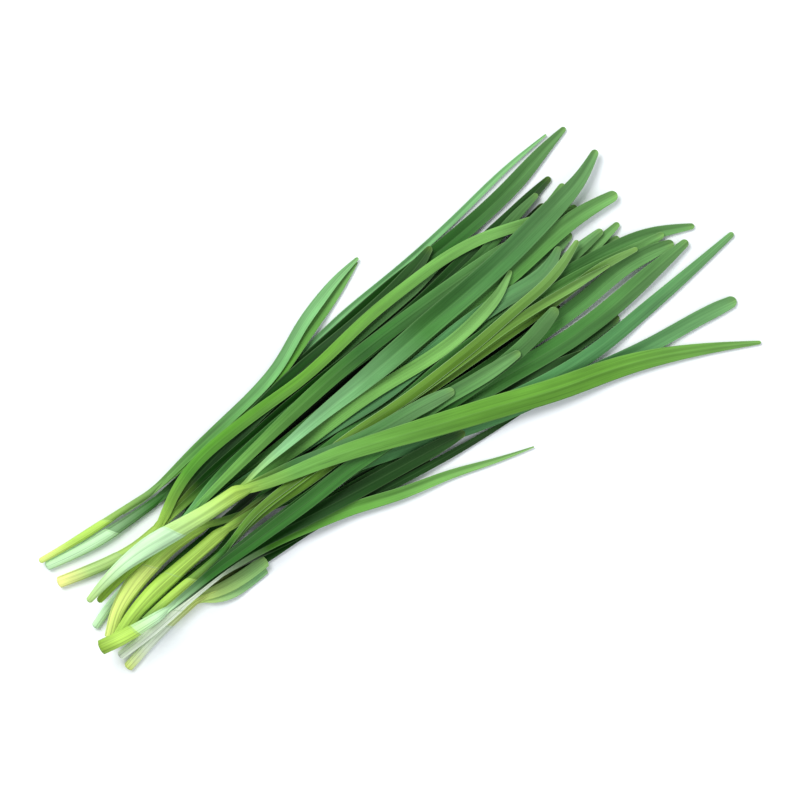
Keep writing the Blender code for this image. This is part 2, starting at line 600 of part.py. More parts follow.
def settled_bunch():
    """Every shoot with its stem and blades laid on the pile, in millimetres, over an origin on the table."""
    corners = on_table([(0, 0), (BOARD_SIDE, 0), (0, BOARD_SIDE), (BOARD_SIDE, BOARD_SIDE)])
    cells = np.ceil(np.ptp(corners, axis=0) / CELL).astype(int) + 1
    pile = Pile(corners.min(axis=0), cells, -CLEARANCE)
    shoots = [(name, *settle_shoot(pile, radii, route, specs)) for name, radii, route, specs in SHOOTS]
    outline = []
    for _, stem, radii, blades in shoots:
        edge = sideways(stem[:, :2]) * radii[:, None]
        outline += [stem[:, :2] + edge, stem[:, :2] - edge]
        for blade in blades:
            outline += [blade["points"] + blade["out"], blade["points"] - blade["out"]]
    outline = np.vstack(outline)
    middle = (outline.min(axis=0) + outline.max(axis=0)) / 2
    for _, stem, _, blades in shoots:
        stem[:, :2] -= middle
        for blade in blades:
            blade["points"] = blade["points"] - middle
    return shoots, middle


def main():
    for thing in list(bpy.data.objects):
        bpy.data.objects.remove(thing)
    bunch = bpy.data.collections.new("chive_bunch")
    pieces = bpy.data.collections.new("pieces")
    for collection in (bunch, pieces):
        bpy.context.scene.collection.children.link(collection)

    for name, stem, radii, blades in settled_bunch()[0]:
        shoot = build_shoot(name, stem, radii, blades, bunch, pieces)
        shoot.data.materials.clear()
        shoot.data.materials.append(leaf_material(name, COLOURS[name]))
        shoot.data.shade_smooth()
        shoot.data.set_sharp_from_angle(angle=SHARP_ANGLE)
        highest = max(v.co.z for v in shoot.data.vertices) / MM
        print(name, "has", len(shoot.data.polygons), "faces and reaches", round(highest, 1), "mm")
    bpy.data.collections.remove(pieces)


main()
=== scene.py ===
# %% [markdown]
# # A loose bunch of garlic chives
#
# The solids of this bunch are already made: each leafy shoot is one closed solid, laid on the shoots
# under it. This lesson dresses them. Each shoot gets a finer piece of the same form, with thin grooved
# leaves and a stem that ends in cut layers, and every piece gets a leaf finish with veins, wax and paling
# towards the stem.

# %% Loading the solids
import math

import bpy
import numpy as np
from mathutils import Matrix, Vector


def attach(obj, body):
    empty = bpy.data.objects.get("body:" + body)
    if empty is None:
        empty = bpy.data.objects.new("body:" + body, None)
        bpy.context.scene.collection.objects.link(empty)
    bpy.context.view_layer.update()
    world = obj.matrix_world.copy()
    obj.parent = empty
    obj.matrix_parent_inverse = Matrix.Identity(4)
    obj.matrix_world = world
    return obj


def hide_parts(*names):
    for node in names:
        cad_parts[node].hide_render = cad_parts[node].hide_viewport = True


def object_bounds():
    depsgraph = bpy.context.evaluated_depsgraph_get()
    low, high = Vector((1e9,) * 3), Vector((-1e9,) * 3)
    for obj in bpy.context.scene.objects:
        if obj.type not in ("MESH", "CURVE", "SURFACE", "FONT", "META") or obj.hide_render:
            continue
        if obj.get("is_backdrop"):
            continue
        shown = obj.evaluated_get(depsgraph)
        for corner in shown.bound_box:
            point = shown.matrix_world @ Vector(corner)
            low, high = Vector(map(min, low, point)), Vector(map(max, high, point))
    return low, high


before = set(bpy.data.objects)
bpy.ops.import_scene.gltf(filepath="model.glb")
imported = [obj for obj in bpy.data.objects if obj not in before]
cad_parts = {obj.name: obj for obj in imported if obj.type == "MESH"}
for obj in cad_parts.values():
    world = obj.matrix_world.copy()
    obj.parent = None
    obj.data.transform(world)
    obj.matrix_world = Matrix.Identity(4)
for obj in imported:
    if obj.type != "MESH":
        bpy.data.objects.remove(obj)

solid_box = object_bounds()


def say_reach(what, box):
    low, high = ([round(value, 4) for value in corner] for corner in box)
    print(what, "from", low, "to", high)


say_reach("The solids reach", solid_box)

# %% [markdown]
# ## The plan of the bunch
#
# The leaves of a bunch aren't placed at random: they fan out from the stems, and each one keeps to its
# own slow curve. So the plan is drawn as if on a board under the bunch, with one route for each stem and
# leaf. The sizes that all of them share come first.

# %% Sizes
PLAN_STEP = 0.4  # mm in one step of the board, which sets the size of the whole bunch
BOARD_SIDE = 800  # steps
LAY_ANGLE = math.radians(35.0)  # the bunch lies across the board at this slope, and along X once turned

# From here on in millimetres
MM = 0.001  # m in one
BLADE_THICKNESS = 0.75  # at the midrib; the margins run out to an edge
LEAST_HALF_WIDTH = 0.45
ROOT_HALF_WIDTH = 1.4  # of a leaf where it is still inside its stem
ROOT_DEPTH = 13.0  # how far a leaf runs inside its stem
NECK_STEP = 7.0  # from the neck of a stem to a leaf's first section outside it
BLADE_STEP = 14.0  # between the other sections of a leaf
FEWEST_BLADE_STEPS = 2
TIP_STEPS = (9.0, 3.4, 0.9, 0.0)  # the last sections of a leaf, measured back from its tip
TIP_SPAN = 18.0  # the length over which a common leaf narrows to its tip
CUT_OFF = 1.0  # and one that was cut off
BLUNTNESS = 0.5  # the share of its width that a common leaf still has where its tip is rounded off
STEM_STEP = 11.0  # between the sections of a stem
FEWEST_STEM_STEPS = 3
STEM_FULL_AT = 0.45  # how far along it a stem is thickest
NECK_TAPER = 0.8  # a stem's radius at its neck, as a share of its thickest
SIBLING_RISE = 0.55  # between the roots of two leaves in one stem
CLEARANCE = 0.2  # left between a leaf and what it lies on
SIDE_CLEARANCE = 0.2  # and beside it
SIBLING_GAP = 0.05  # between two leaves of one shoot, once they have left its neck
NEST_DEPTH = 0.9  # how far they run into each other at the neck
NEST_SPAN = 80.0  # and the length over which they part
PRESSED_FLAT = 0.3  # how much of a stem's underside is flat where it rests on the table
print("The board is", BOARD_SIDE * PLAN_STEP, "mm wide")

# %% How leaves bend
LEAF_BEND = 110.0  # tightest radius of a leaf seen from the side
STEM_BEND = 150.0  # tightest radius of a stem
NECK_SLOPE = 0.16  # steepest climb of a leaf out of its neck
FOLD_AT_ROOT = 0.35  # slope of each half of a blade where it leaves the stem
FOLD_OPEN = 0.2  # and in the open blade
FOLD_SPAN = 90.0  # the fold opens over this length
LEAN_SHARE = 0.75  # how far each half takes the slope of what it lies on
LEAN_SPREAD = 14.0  # and the length over which that evens out
MOST_LEAN = 0.6  # the steepest slope of a half upwards
MOST_DROOP = 0.25  # and downwards
CELL = 0.5  # side of a cell in the height map of the pile
FINE_STEP = 0.45  # spacing of the points that feel the pile
FEELERS = (-1.0, -0.8, -0.6, -0.2, 0.0, 0.2, 0.6, 0.8, 1.0)  # where a leaf feels what it leans on
OUTER_FEELERS = 0.5  # beyond this share of the half width they lean that half
SAMPLES_ACROSS = 13  # and how many points feel how high a leaf or a stem has to be
STEM_REACH = 1.15  # how far out they go beside a stem, in radii
DRAWN_STEP = 0.25  # spacing of the points that a route is first drawn with
ROUTE_STEP = 1.0  # and of those that it keeps
SETTLING_TURNS = 40  # how often a line is let down on what it lies on
NOTHING = -1000.0  # the height of an empty map

# %% Routes of the stems and leaves
def drawn(text):
    """Points of the board written as x,y in steps, x to the right and y down."""
    return [tuple(map(int, point.split(","))) for point in text.split()]


def leaf(width, route, tip=TIP_SPAN, blunt=BLUNTNESS, neck=1.0, fold=1.0):
    """A leaf of this width in mm along a route, narrowing over the length tip to a round end.

    Where it is rounded off it still has the share blunt of its width. A neck below 1 makes it slimmer than
    most where it leaves its stem, and one over 1 makes it broader. A fold over 1 makes its halves steeper,
    and below 0 they hang from the midrib.
    """
    return dict(width=width, route=drawn(route), tip=tip, blunt=blunt, neck=neck, fold=fold)


# The shoots from the bottom of the pile to its top: name, stem radius in mm at its cut end and at its
# thickest, stem route, and leaves from the lowest up.
SHOOTS = [
    ("shoot_under_left", (1.2, 1.7), drawn("99,597 123,573 151,549 178,525"), [
        leaf(8.0, "213,480 266,429 324,377 384,323 435,277 475,240"),
        leaf(7.0, "217,490 272,442 334,388 390,337 446,280 500,232"),
        leaf(7.5, "220,493 285,450 350,402 420,350 480,300 530,255"),
    ]),
    ("shoot_under_middle", (1.8, 2.1), drawn("120,632 142,601 168,571 199,543"), [
        leaf(7.0, "240,517 305,480 380,440 450,400 510,362"),
        leaf(7.5, "238,515 300,472 370,425 440,380 505,340 560,305"),
        leaf(7.5, "236,512 295,462 360,405 425,345 475,292 515,243 546,203"),
    ]),
    ("shoot_right_edge_low", (1.7, 1.9), drawn("127,668 145,648 165,628 194,602"), [
        leaf(6.5, "250,566 310,525 370,492 430,460"),
        leaf(6.4, "222,595 244,583 264,567", tip=CUT_OFF, blunt=0.8),
        leaf(5.6, "224,588 246,575 266,560", tip=CUT_OFF, blunt=0.8),
    ]),
    ("shoot_right_edge", (1.6, 2.0), drawn("120,656 148,634 180,606 212,580"), [
        leaf(3.2, "250,560 300,535 350,508 400,482 450,455 490,432 525,411", tip=40.0, blunt=0.3),
        leaf(7.0, "250,553 310,518 370,475 440,432 500,394 560,354 620,316"),
        leaf(5.0, "250,550 310,512 370,478 440,438 500,402 530,384 553,369"),
        leaf(5.4, "240,562 275,542 315,524 355,508 400,494 450,475 495,461 535,447",
             tip=75.0, blunt=0.12, fold=1.4),
    ]),
    ("shoot_left_edge", (1.9, 2.3), drawn("46,566 82,549 120,526 150,505"), [
        leaf(2.9, "195,462 240,415 290,366 340,317 387,278 430,241 469,204 506,168 547,133",
             tip=40.0, blunt=0.3, fold=1.6),
        leaf(6.5, "200,468 250,425 300,382 350,340 400,298 440,262"),
        leaf(7.3, "200,462 245,420 295,372 345,328 396,284 441,249 481,215 517,180 546,147 566,126",
             tip=32.0, blunt=0.3),
    ]),
    ("shoot_left_edge_slim", (1.0, 1.5), drawn("40,561 75,541 112,517 148,494"), [
        leaf(4.4, "184,464 222,431 256,400 285,366 309,331 332,298 357,261", tip=25.0, blunt=0.25),
        leaf(4.9, "183,461 220,426 252,396 279,364 301,326 320,299 338,277 358,257", tip=30.0, blunt=0.3),
    ]),
    ("shoot_yellow_stem", (2.1, 2.2), drawn("58,583 98,567 130,550 156,529"), [
        leaf(7.2, "185,490 225,447 265,405 305,368 345,335 385,300 412,272 431,246", blunt=0.35),
        leaf(5.2, "195,488 240,448 290,405 340,366 390,328 435,288 475,248 515,211 551,176"),
        leaf(4.6, "200,490 250,447 300,404 350,366 400,330 440,294 480,257 510,222 538,193"),
        leaf(4.7, "172,498 195,464 228,434 265,406 303,378 338,346 372,314 408,285 445,258 485,237 530,222 "
             "578,206", tip=20.0, blunt=0.6, neck=1.7),
    ]),
    ("shoot_olive_right", (1.6, 1.9), drawn("136,627 160,603 186,580 213,558"), [
        leaf(7.2, "260,505 320,455 380,405 440,355 500,300 545,258 572,232"),
        leaf(5.2, "260,508 320,462 380,415 440,368 500,322 550,285 590,258 620,236"),
        leaf(5.0, "258,506 318,460 378,412 438,365 498,320 548,283 590,250 620,222"),
        leaf(5.8, "255,505 310,462 365,420 420,378 470,338 520,298 565,261 603,229"),
    ]),
    ("shoot_mint_short", (1.4, 1.7), drawn("94,627 109,606 134,579 164,550"), [
        leaf(6.2, "205,505 260,462 330,408 400,352 460,303 510,262 548,228 580,212"),
        leaf(7.6, "208,508 260,470 310,432 360,396 410,358 455,322 495,288 535,252 575,218 618,193",
             tip=30.0, blunt=0.6),
        leaf(7.0, "210,508 265,470 325,430 385,392 435,350 480,315 520,290 545,272 560,246", blunt=0.35),
        leaf(5.6, "212,506 255,476 300,446 345,412 385,385 425,361 458,337 484,312 500,292 511,270",
             tip=24.0, blunt=0.3, neck=0.6),
    ]),
    ("shoot_thick_stem", (2.2, 3.5), drawn("110,637 120,606 141,575 170,547 192,531"), [
        leaf(6.4, "225,520 285,500 350,470 430,430 500,395 550,370 587,352", neck=0.7),
        leaf(6.2, "228,520 288,496 350,468 420,437 490,408 545,382 590,355 640,315 690,272 735,232",
             tip=60.0, blunt=0.4, neck=0.7),
        leaf(6.4, "228,519 285,497 345,470 415,445 480,423 545,395 600,369 655,343 700,318 738,299",
             tip=12.0, blunt=0.72, neck=0.7),
    ]),
    ("shoot_green_stem", (2.3, 3.2), drawn("117,640 136,612 165,582 200,551 216,537"), [
        leaf(6.4, "245,512 290,482 345,445 400,405 450,362 500,325 550,285 600,256 650,234 696,225",
             tip=30.0, blunt=0.38, neck=0.7),
        leaf(5.6, "245,514 300,480 360,440 420,395 480,345 540,300 600,266 640,247 665,233", neck=0.7),
        leaf(7.2, "247,514 305,480 360,448 420,412 480,375 534,337 587,298 632,262 675,242", neck=0.7),
        leaf(8.2, "248,516 300,490 350,462 400,433 455,406 510,374 560,345 605,313 650,274 689,240",
             tip=38.0, blunt=0.42, neck=0.7),
    ]),
    ("shoot_olive_left", (1.6, 1.8), drawn("146,620 168,600 194,578 222,553"), [
        leaf(3.9, "253,522 305,485 355,446 410,404 465,365 515,330 560,298 600,268 638,248", fold=2.6),
        leaf(3.7, "252,520 300,480 355,438 410,398 460,362 510,325 560,294 610,265",
             tip=20.0, blunt=0.35, fold=2.6),
        leaf(4.2, "250,518 295,480 345,440 400,403 440,373 480,341 520,306 552,277 578,240",
             tip=16.0, fold=-1.5),
    ]),
    ("shoot_across_base", (2.8, 2.6), drawn("103,646 122,637 140,627 158,616"), [
        leaf(6.5, "190,593 215,572 245,550 290,526 350,495 410,462 465,432", neck=0.7),
        leaf(6.4, "190,592 215,569 248,542 290,512 340,476 395,438 450,402 495,370 530,340 557,308",
             tip=12.0, blunt=0.65, neck=0.7),
        leaf(6.2, "190,591 217,569 250,545 282,521 315,496 350,468 390,440 430,408 475,381 520,352",
             neck=0.7),
    ]),
    ("shoot_mint_back", (1.1, 2.3), drawn("100,600 122,575 150,549 180,524"), [
        leaf(5.2, "207,490 240,456 290,413 340,373 390,334 435,299 476,270 516,243 545,212 564,183"),
        leaf(6.4, "208,496 239,465 275,430 317,391 360,354 403,321 444,291 486,262 530,234", neck=0.7),
    ]),
    ("shoot_mint_front", (1.1, 3.7), drawn("91,599 115,573 145,549 178,529 209,511 236,493"), [
        leaf(9.5, "254,474 285,446 321,415 357,386 395,354 433,321 474,286 514,249 551,211 579,180 597,149",
             tip=42.0, blunt=0.32, neck=0.3),
        leaf(6.4, "262,481 300,464 340,449 380,430 415,410 454,390", tip=14.0, blunt=0.55),
        leaf(9.6, "260,485 295,472 335,456 385,440 440,424 500,406 560,388 620,367 690,351 763,342",
             tip=85.0, blunt=0.16, neck=0.8),
    ]),
]
print(len(SHOOTS), "shoots are drawn")

# %% How wide a leaf is along its length
# The share of a leaf's full half width along the open part of it, before its tip is narrowed.
WIDTH_ALONG = ((0.0, 0.48), (0.08, 0.6), (0.2, 0.78), (0.35, 0.92), (0.5, 1.0), (0.75, 0.98), (1.0, 0.94))
NECK_REACH = 0.4  # a slim or broad neck reaches this far along the leaf

# %% [markdown]
# ## From a few points to a smooth route
#
# A leaf has no corners, so its route is a natural cubic spline through the points drawn on the board. The
# spline is read off at even steps, because everything later asks how far along the leaf a place is.

# %% Smooth routes
def on_table(points):
    """Points of the board, in steps, as millimetres in the bunch's own plan, with X along the bunch."""
    board = np.array(points, float) * PLAN_STEP * (1, -1)
    c, s = math.cos(LAY_ANGLE), math.sin(LAY_ANGLE)
    return board @ np.array([[c, -s], [s, c]])


def lengths_along(points):
    """How far along a line of points each of them is."""
    return np.concatenate([[0], np.cumsum(np.linalg.norm(np.diff(points, axis=0), axis=1))])


def read_off(wanted, at, values):
    """What lies at these places between the values, or rows of values, at the others."""
    values = np.asarray(values)
    if values.ndim == 1:
        return np.interp(wanted, at, values)
    return np.column_stack([np.interp(wanted, at, column) for column in values.T])


def smooth_route(points):
    """A natural cubic spline through the points, as points spaced evenly along it."""
    at = lengths_along(points)
    gaps = np.diff(at)
    count = len(points)
    system = np.eye(count)
    wanted = np.zeros((count, 2))
    for i in range(1, count - 1):
        before, after = gaps[i - 1], gaps[i]
        system[i, i - 1 : i + 2] = before, 2 * (before + after), after
        wanted[i] = 6 * ((points[i + 1] - points[i]) / after - (points[i] - points[i - 1]) / before)
    bend = np.linalg.solve(system, wanted)
    t = np.linspace(0, at[-1], int(at[-1] / DRAWN_STEP) + 2)
    i = np.clip(np.searchsorted(at, t, side="right") - 1, 0, count - 2)
    h = gaps[i][:, None]
    a = (at[i + 1] - t)[:, None]
    b = (t - at[i])[:, None]
    curve = (
        (bend[i] * a**3 + bend[i + 1] * b**3) / (6 * h)
        + (points[i] / h - bend[i] * h / 6) * a
        + (points[i + 1] / h - bend[i + 1] * h / 6) * b
    )
    along = lengths_along(curve)
    even = np.linspace(0, along[-1], int(along[-1] / ROUTE_STEP) + 2)
    return read_off(even, along, curve), even


def sideways(points):
    """Unit vectors in plan to the left of a line of points."""
    ahead = np.gradient(points, axis=0)
    ahead /= np.linalg.norm(ahead, axis=1)[:, None]
    return np.column_stack([-ahead[:, 1], ahead[:, 0]])


def beside_line(points, out, share):
    """Rows of points beside a line, at these shares of the vectors that lead out from it."""
    return points[:, None, :] + out[:, None, :] * share[..., None]


# %% [markdown]
# ## The pile
#
# Leaves in a heap touch what is under them but don't run through it. A physics simulation of fifty limp
# leaves is slow and hard to steer, so the pile is a height map instead. The shoots are laid down from the
# bottom to the top. Each one asks the map how high it has to be, settles as low as its stiffness allows,
# and is then marked on the map itself.

# %% A height map of the pile
def smoothed(values, spread):
    """Values blurred along their list with a bell curve of this spread, in samples."""
    reach = int(3 * spread) + 1
    bell = np.exp(-0.5 * (np.arange(-reach, reach + 1) / spread) ** 2)
    padded = np.pad(values, reach, mode="edge")
    return np.convolve(padded, bell / bell.sum(), mode="valid")


class Pile:
    """A height map of what has been laid down, in millimetres above the table."""

    def __init__(self, low, count, height):
        self.low, self.count = low, count
        self.top = self.widened = np.full(count, height)

    def cells(self, xy):
        found = ((xy - self.low) / CELL).astype(int)
        return tuple(np.clip(found, 0, self.count - 1).reshape(-1, 2).T)

    def under(self, xy):
        """The highest thing in the cell at each place and in the cells round it."""
        return self.widened[self.cells(xy)].reshape(xy.shape[:-1])

    def add(self, xy, z):
        """Marks places and their heights on the map."""
        np.maximum.at(self.top, self.cells(xy), z.reshape(-1))
        high = self.top
        for axis in (0, 1):
            high = np.maximum(high, np.maximum(np.roll(high, 1, axis), np.roll(high, -1, axis)))
        self.widened = high


# %% Lines over the pile
def draped(needed, at, bend):
    """The lowest line over the needed heights that bends no tighter than this radius."""
    gap = at[:, None] - at[None, :]
    return (needed[None, :] - gap**2 / (2 * bend)).max(axis=1)


def lowered(needed, at, stations, start, held):
    """Station heights from a starting line, as low as its straight pieces can be over the needed heights.

    The first stations, as many as held, stay where they are.
    """
    heights = start.copy()
    pieces = []
    for i in range(max(held - 1, 0), len(stations) - 1):
        inside = (at > stations[i]) & (at <= stations[i + 1])
        if inside.any():
            share = (at[inside] - stations[i]) / (stations[i + 1] - stations[i])
            pieces.append((i, share, needed[inside]))
    for turn in range(SETTLING_TURNS):
        for i, share, wanted in pieces:
            short = wanted - heights[i] * (1 - share) - heights[i + 1] * share
            worst = short.argmax()
            if short[worst] <= 0:
                continue
            near, far = 1 - share[worst], share[worst]
            if i < held:
                heights[i + 1] += (short / share).max()
            elif turn == SETTLING_TURNS - 1:
                heights[i : i + 2] += short[worst]
            else:
                heights[i] += short[worst] * near / (near**2 + far**2)
                heights[i + 1] += short[worst] * far / (near**2 + far**2)
    return heights


# %% The plan of a leaf
def half_widths(spec, stations, root_end, least=LEAST_HALF_WIDTH):
    """The half width of a leaf at its stations, in mm: a narrow neck, a full middle and a round tip."""
    open_share = np.clip((stations - root_end) / (stations[-1] - root_end), 0, 1)
    left = stations[-1] - stations
    taper = np.sin(np.clip(left / spec["tip"], 0, 1) * math.pi / 2)
    narrowed = spec["blunt"] + (1 - spec["blunt"]) * taper
    round_end = min(spec["blunt"] * spec["width"] / 2, spec["tip"])
    rounded = np.sqrt(1 - (1 - np.clip(left / round_end, 0, 1)) ** 2)
    along = np.interp(open_share, *zip(*WIDTH_ALONG))
    slimmed = np.interp(open_share, (0, NECK_REACH), (spec["neck"], 1))
    open_half = along * slimmed * narrowed * rounded * spec["width"] / 2
    outside = np.clip((stations - root_end) / NECK_STEP, 0, 1)
    return ROOT_HALF_WIDTH + (np.maximum(open_half, least) - ROOT_HALF_WIDTH) * outside


def leaf_route(spec, stem_route):
    """The smooth route of a leaf, which starts inside its stem."""
    return smooth_route(on_table(stem_route[-2:] + spec["route"]))


def blade_plan(spec, stem_route):
    """The plan of a leaf at its stations: where it runs, its half widths as vectors, and its own fold."""
    route, lengths = leaf_route(spec, stem_route)
    neck = lengths[np.linalg.norm(on_table([stem_route[-1]]) - route, axis=1).argmin()]
    start = neck - min(ROOT_DEPTH, neck)
    total = lengths[-1] - start
    body = total - TIP_STEPS[0]
    root_end = neck - start
    first = root_end + NECK_STEP
    count = max(FEWEST_BLADE_STEPS, round((body - first) / BLADE_STEP))
    outside = np.linspace(first, body, count + 1)
    stations = np.concatenate([[0, root_end], outside, total - np.array(TIP_STEPS[1:])])
    points = read_off(start + stations, lengths, route)
    half = half_widths(spec, stations, root_end)
    opened = np.clip((stations - root_end) / FOLD_SPAN, 0, 1)
    fold = FOLD_AT_ROOT + (FOLD_OPEN * spec["fold"] - FOLD_AT_ROOT) * opened
    out = sideways(points) * half[:, None]
    return {"at": stations, "points": points, "half": half, "out": out, "fold": fold, "root_end": root_end}


# %% Leaves that lean on what they lie on
def finely(blade, *keys):
    """Places close together along a blade, and these values of it there."""
    at = np.arange(0, blade["at"][-1], FINE_STEP)
    return at, *(read_off(at, blade["at"], blade[key]) for key in keys)


def rise_over_spine(left, right, share):
    """How far a blade stands over its spine at each share of the way out."""
    return np.where(share > 0, left[:, None], right[:, None]) * np.abs(share)


def fold_over(blade, pile, own):
    """Leans the two halves of a blade, station by station, on what lies under them."""
    at, points, out = finely(blade, "points", "out")
    across = np.array(FEELERS)
    xy = beside_line(points, out, across)
    below = np.maximum(pile.under(xy), own.under(xy))
    middle = below[:, abs(across) < OUTER_FEELERS].max(axis=1)
    half = np.linalg.norm(out, axis=1)
    for key, side in (("left", across > OUTER_FEELERS), ("right", across < -OUTER_FEELERS)):
        rise = (below[:, side].mean(axis=1) - middle) / (abs(across[side]).mean() * half)
        lean = np.interp(blade["at"], at, smoothed(rise, LEAN_SPREAD / FINE_STEP))
        slope = np.clip(blade["fold"] + LEAN_SHARE * lean, -MOST_DROOP, MOST_LEAN)
        slope[:2] = 0
        blade[key] = slope * blade["half"]


def blade_needs(blade, pile, own):
    """Folds a blade over the pile. Gives places along it, how far past its root each is, and the height that
    its spine needs there.
    """
    fold_over(blade, pile, own)
    at, points, out, left, right = finely(blade, "points", "out", "left", "right")
    share = np.linspace(-1, 1, SAMPLES_ACROSS)
    # The outermost places stand a little outside the margins, so that neighbours also clear each other.
    wide = share[None, :] * (1 + SIDE_CLEARANCE / np.linalg.norm(out, axis=1))[:, None]
    xy = beside_line(points, out, wide)
    underside = rise_over_spine(left, right, share) - BLADE_THICKNESS * (1 - np.abs(share))
    beyond = at - blade["root_end"]
    nested = np.interp(beyond, (0, NEST_SPAN), (-NEST_DEPTH, SIBLING_GAP))
    over_pile = (pile.under(xy) + CLEARANCE - underside).max(axis=1)
    over_own = (own.under(xy) - underside).max(axis=1) + nested
    return at, beyond, np.maximum(over_pile, over_own)


def lay_blade(blade, own):
    """Marks the top of a settled blade on its shoot's height map."""
    _, points, out, left, right, spine = finely(blade, "points", "out", "left", "right", "spine")
    share = np.linspace(-1, 1, 2 * SAMPLES_ACROSS - 1)
    own.add(beside_line(points, out, share), spine[:, None] + rise_over_spine(left, right, share))


# %% Settling one shoot
def settle_shoot(pile, stem_radii, stem_route, specs):
    """Lays one shoot on the pile. Returns its stem's points and radii, and its blades with their heights."""
    stem_plan, lengths = smooth_route(on_table(stem_route))
    total = lengths[-1]
    stations = np.linspace(0, total, max(FEWEST_STEM_STEPS, round(total / STEM_STEP)) + 1)
    at_cut, thickest = stem_radii
    radii = np.interp(stations / total, (0, STEM_FULL_AT, 1), (at_cut, thickest, thickest * NECK_TAPER))
    at = np.arange(0, total, FINE_STEP)
    radius = np.interp(at, stations, radii)[:, None]
    points = read_off(at, lengths, stem_plan)
    share = np.linspace(-STEM_REACH, STEM_REACH, SAMPLES_ACROSS)
    below = pile.under(beside_line(points, sideways(points), share * radius))
    back = np.sqrt(np.clip(1 - share**2, 0, 1)) * radius
    needed = np.where(below <= -CLEARANCE, back - PRESSED_FLAT, below + CLEARANCE + back).max(axis=1)

    own = Pile(pile.low, pile.count, NOTHING)
    blades = [blade_plan(spec, stem_route) for spec in specs]
    offsets = (np.arange(len(blades)) - (len(blades) - 1) / 2) * SIBLING_RISE
    neck = needed[-1]
    for blade, offset in zip(blades, offsets):
        _, beyond, wanted = blade_needs(blade, pile, own)
        lift = wanted - NECK_SLOPE * beyond - beyond**2 / (2 * LEAF_BEND)
        neck = max(neck, lift[beyond > 0].max() - offset)
    all_at, all_needed = np.append(at, total), np.append(needed, neck)
    start = np.interp(stations, all_at, draped(all_needed, all_at, STEM_BEND))
    heights = lowered(all_needed, all_at, stations, start, 0)
    stem = np.column_stack([read_off(stations, lengths, stem_plan), heights])

    for blade, offset in zip(blades, offsets):
        along, beyond, wanted = blade_needs(blade, pile, own)
        fall = heights[-1] + offset - beyond**2 / (2 * LEAF_BEND)
        lowest = np.where(beyond > 0, np.maximum(wanted, fall), fall)
        spine = np.interp(blade["at"], along, draped(lowest, along, LEAF_BEND))
        spine[0] = np.interp(total - blade["root_end"], stations, heights) + offset
        spine[1] = heights[-1] + offset
        blade["spine"] = lowered(wanted, along, blade["at"], spine, 2)
        lay_blade(blade, own)
    pile.top = np.maximum(pile.top, own.top)
    share = np.linspace(-1, 1, 2 * SAMPLES_ACROSS - 1)
    top = np.interp(at, stations, heights)[:, None] + np.sqrt(1 - share**2) * radius
    pile.add(beside_line(points, sideways(points), share * radius), top)
    return stem, radii, blades


# %% Settling them all
def settled_bunch():
    """Every shoot with its stem and blades laid on the pile, in millimetres, over an origin on the table."""
    corners = on_table([(0, 0), (BOARD_SIDE, 0), (0, BOARD_SIDE), (BOARD_SIDE, BOARD_SIDE)])
    cells = np.ceil(np.ptp(corners, axis=0) / CELL).astype(int) + 1
    pile = Pile(corners.min(axis=0), cells, -CLEARANCE)
    shoots = [(name, *settle_shoot(pile, radii, route, specs)) for name, radii, route, specs in SHOOTS]
    outline = []
    for _, stem, radii, blades in shoots:
        lines = [(stem[:, :2], sideways(stem[:, :2]) * radii[:, None])]
        for line, out in lines + [(blade["points"], blade["out"]) for blade in blades]:
            outline += [line + out, line - out]
    outline = np.vstack(outline)
    middle = (outline.min(axis=0) + outline.max(axis=0)) / 2
    for _, stem, _, blades in shoots:
        stem[:, :2] -= middle
        for blade in blades:
            blade["points"] = blade["points"] - middle
    return shoots, middle


shoots, plan_middle = settled_bunch()
print("Laid", len(shoots), "shoots with", sum(len(blades) for *_, blades in shoots), "leaves")

# %% [markdown]
# ## The colours
#
# A chive leaf is yellow or nearly white where the soil kept it dark, lime just above that, and only then
# takes its own green, which is bluer and darker on older leaves. The darkest greens, black and deep, are
# partly painted shade: the leaves low in the pile and under others get them so that the gaps between
# leaves look shaded. The colours are named once, as they look on a screen, and each shoot says which it
# has: at its cut end, on its sheath, at its neck and on its leaves.

# %% Named colours
# black and deep are partly painted shade, for leaves that lie low in the pile or under others.
GREENS = {
    "black": (13, 34, 8), "deep": (26, 62, 20), "dark": (44, 92, 36), "green": (62, 112, 52),
    "grass": (80, 134, 62), "blue": (66, 112, 62), "teal": (78, 132, 80), "mint": (110, 168, 108),
    "frost": (122, 176, 122), "fresh": (74, 130, 42), "lime": (94, 146, 54), "bright": (104, 158, 76),
    "olive": (84, 122, 40), "grey": (112, 152, 84), "yellow": (240, 240, 146), "straw": (206, 226, 124),
    "celery": (170, 204, 126), "leek": (168, 207, 92), "white": (232, 246, 222), "pale": (188, 228, 180),
    "rind": (134, 170, 66), "dusty": (128, 173, 112),
}
# For each shoot: its cut end, its outer sheath and its neck, and after each bar a leaf, from the lowest up.
# A leaf may have one colour, one for its base and one for the rest, or one each for its base, its middle
# and the rest.
LOOKS = {
    "shoot_under_left": "olive olive dark | deep | black | black",
    "shoot_under_middle": "lime lime dark | black | black | black",
    "shoot_right_edge_low": "straw white straw | deep | frost | grey",
    "shoot_right_edge": "white white white | deep | deep | green | fresh bright grey",
    "shoot_left_edge": "pale pale green | green mint | black dark | black deep dark",
    "shoot_left_edge_slim": "straw leek grey | fresh | grass mint",
    "shoot_yellow_stem": "yellow celery leek | deep | deep | dark | fresh lime bright",
    "shoot_olive_right": "grey grey green | dark | green | grass | green",
    "shoot_mint_short": "pale pale green | green | deep grass | teal | green bright",
    "shoot_thick_stem": "straw straw leek | dark deep | dark teal | green teal",
    "shoot_green_stem": "leek leek leek | deep green | deep grass | black green | dark green",
    "shoot_olive_left": "grey leek green | olive | olive | olive",
    "shoot_across_base": "rind leek pale | deep | deep dark | dark green",
    "shoot_mint_back": "rind rind mint | green | bright dark green",
    "shoot_mint_front": "celery pale leek | frost green blue | blue | bright lime",
}
SCREEN_GAMMA = 2.2
SCREEN_FULL = 255


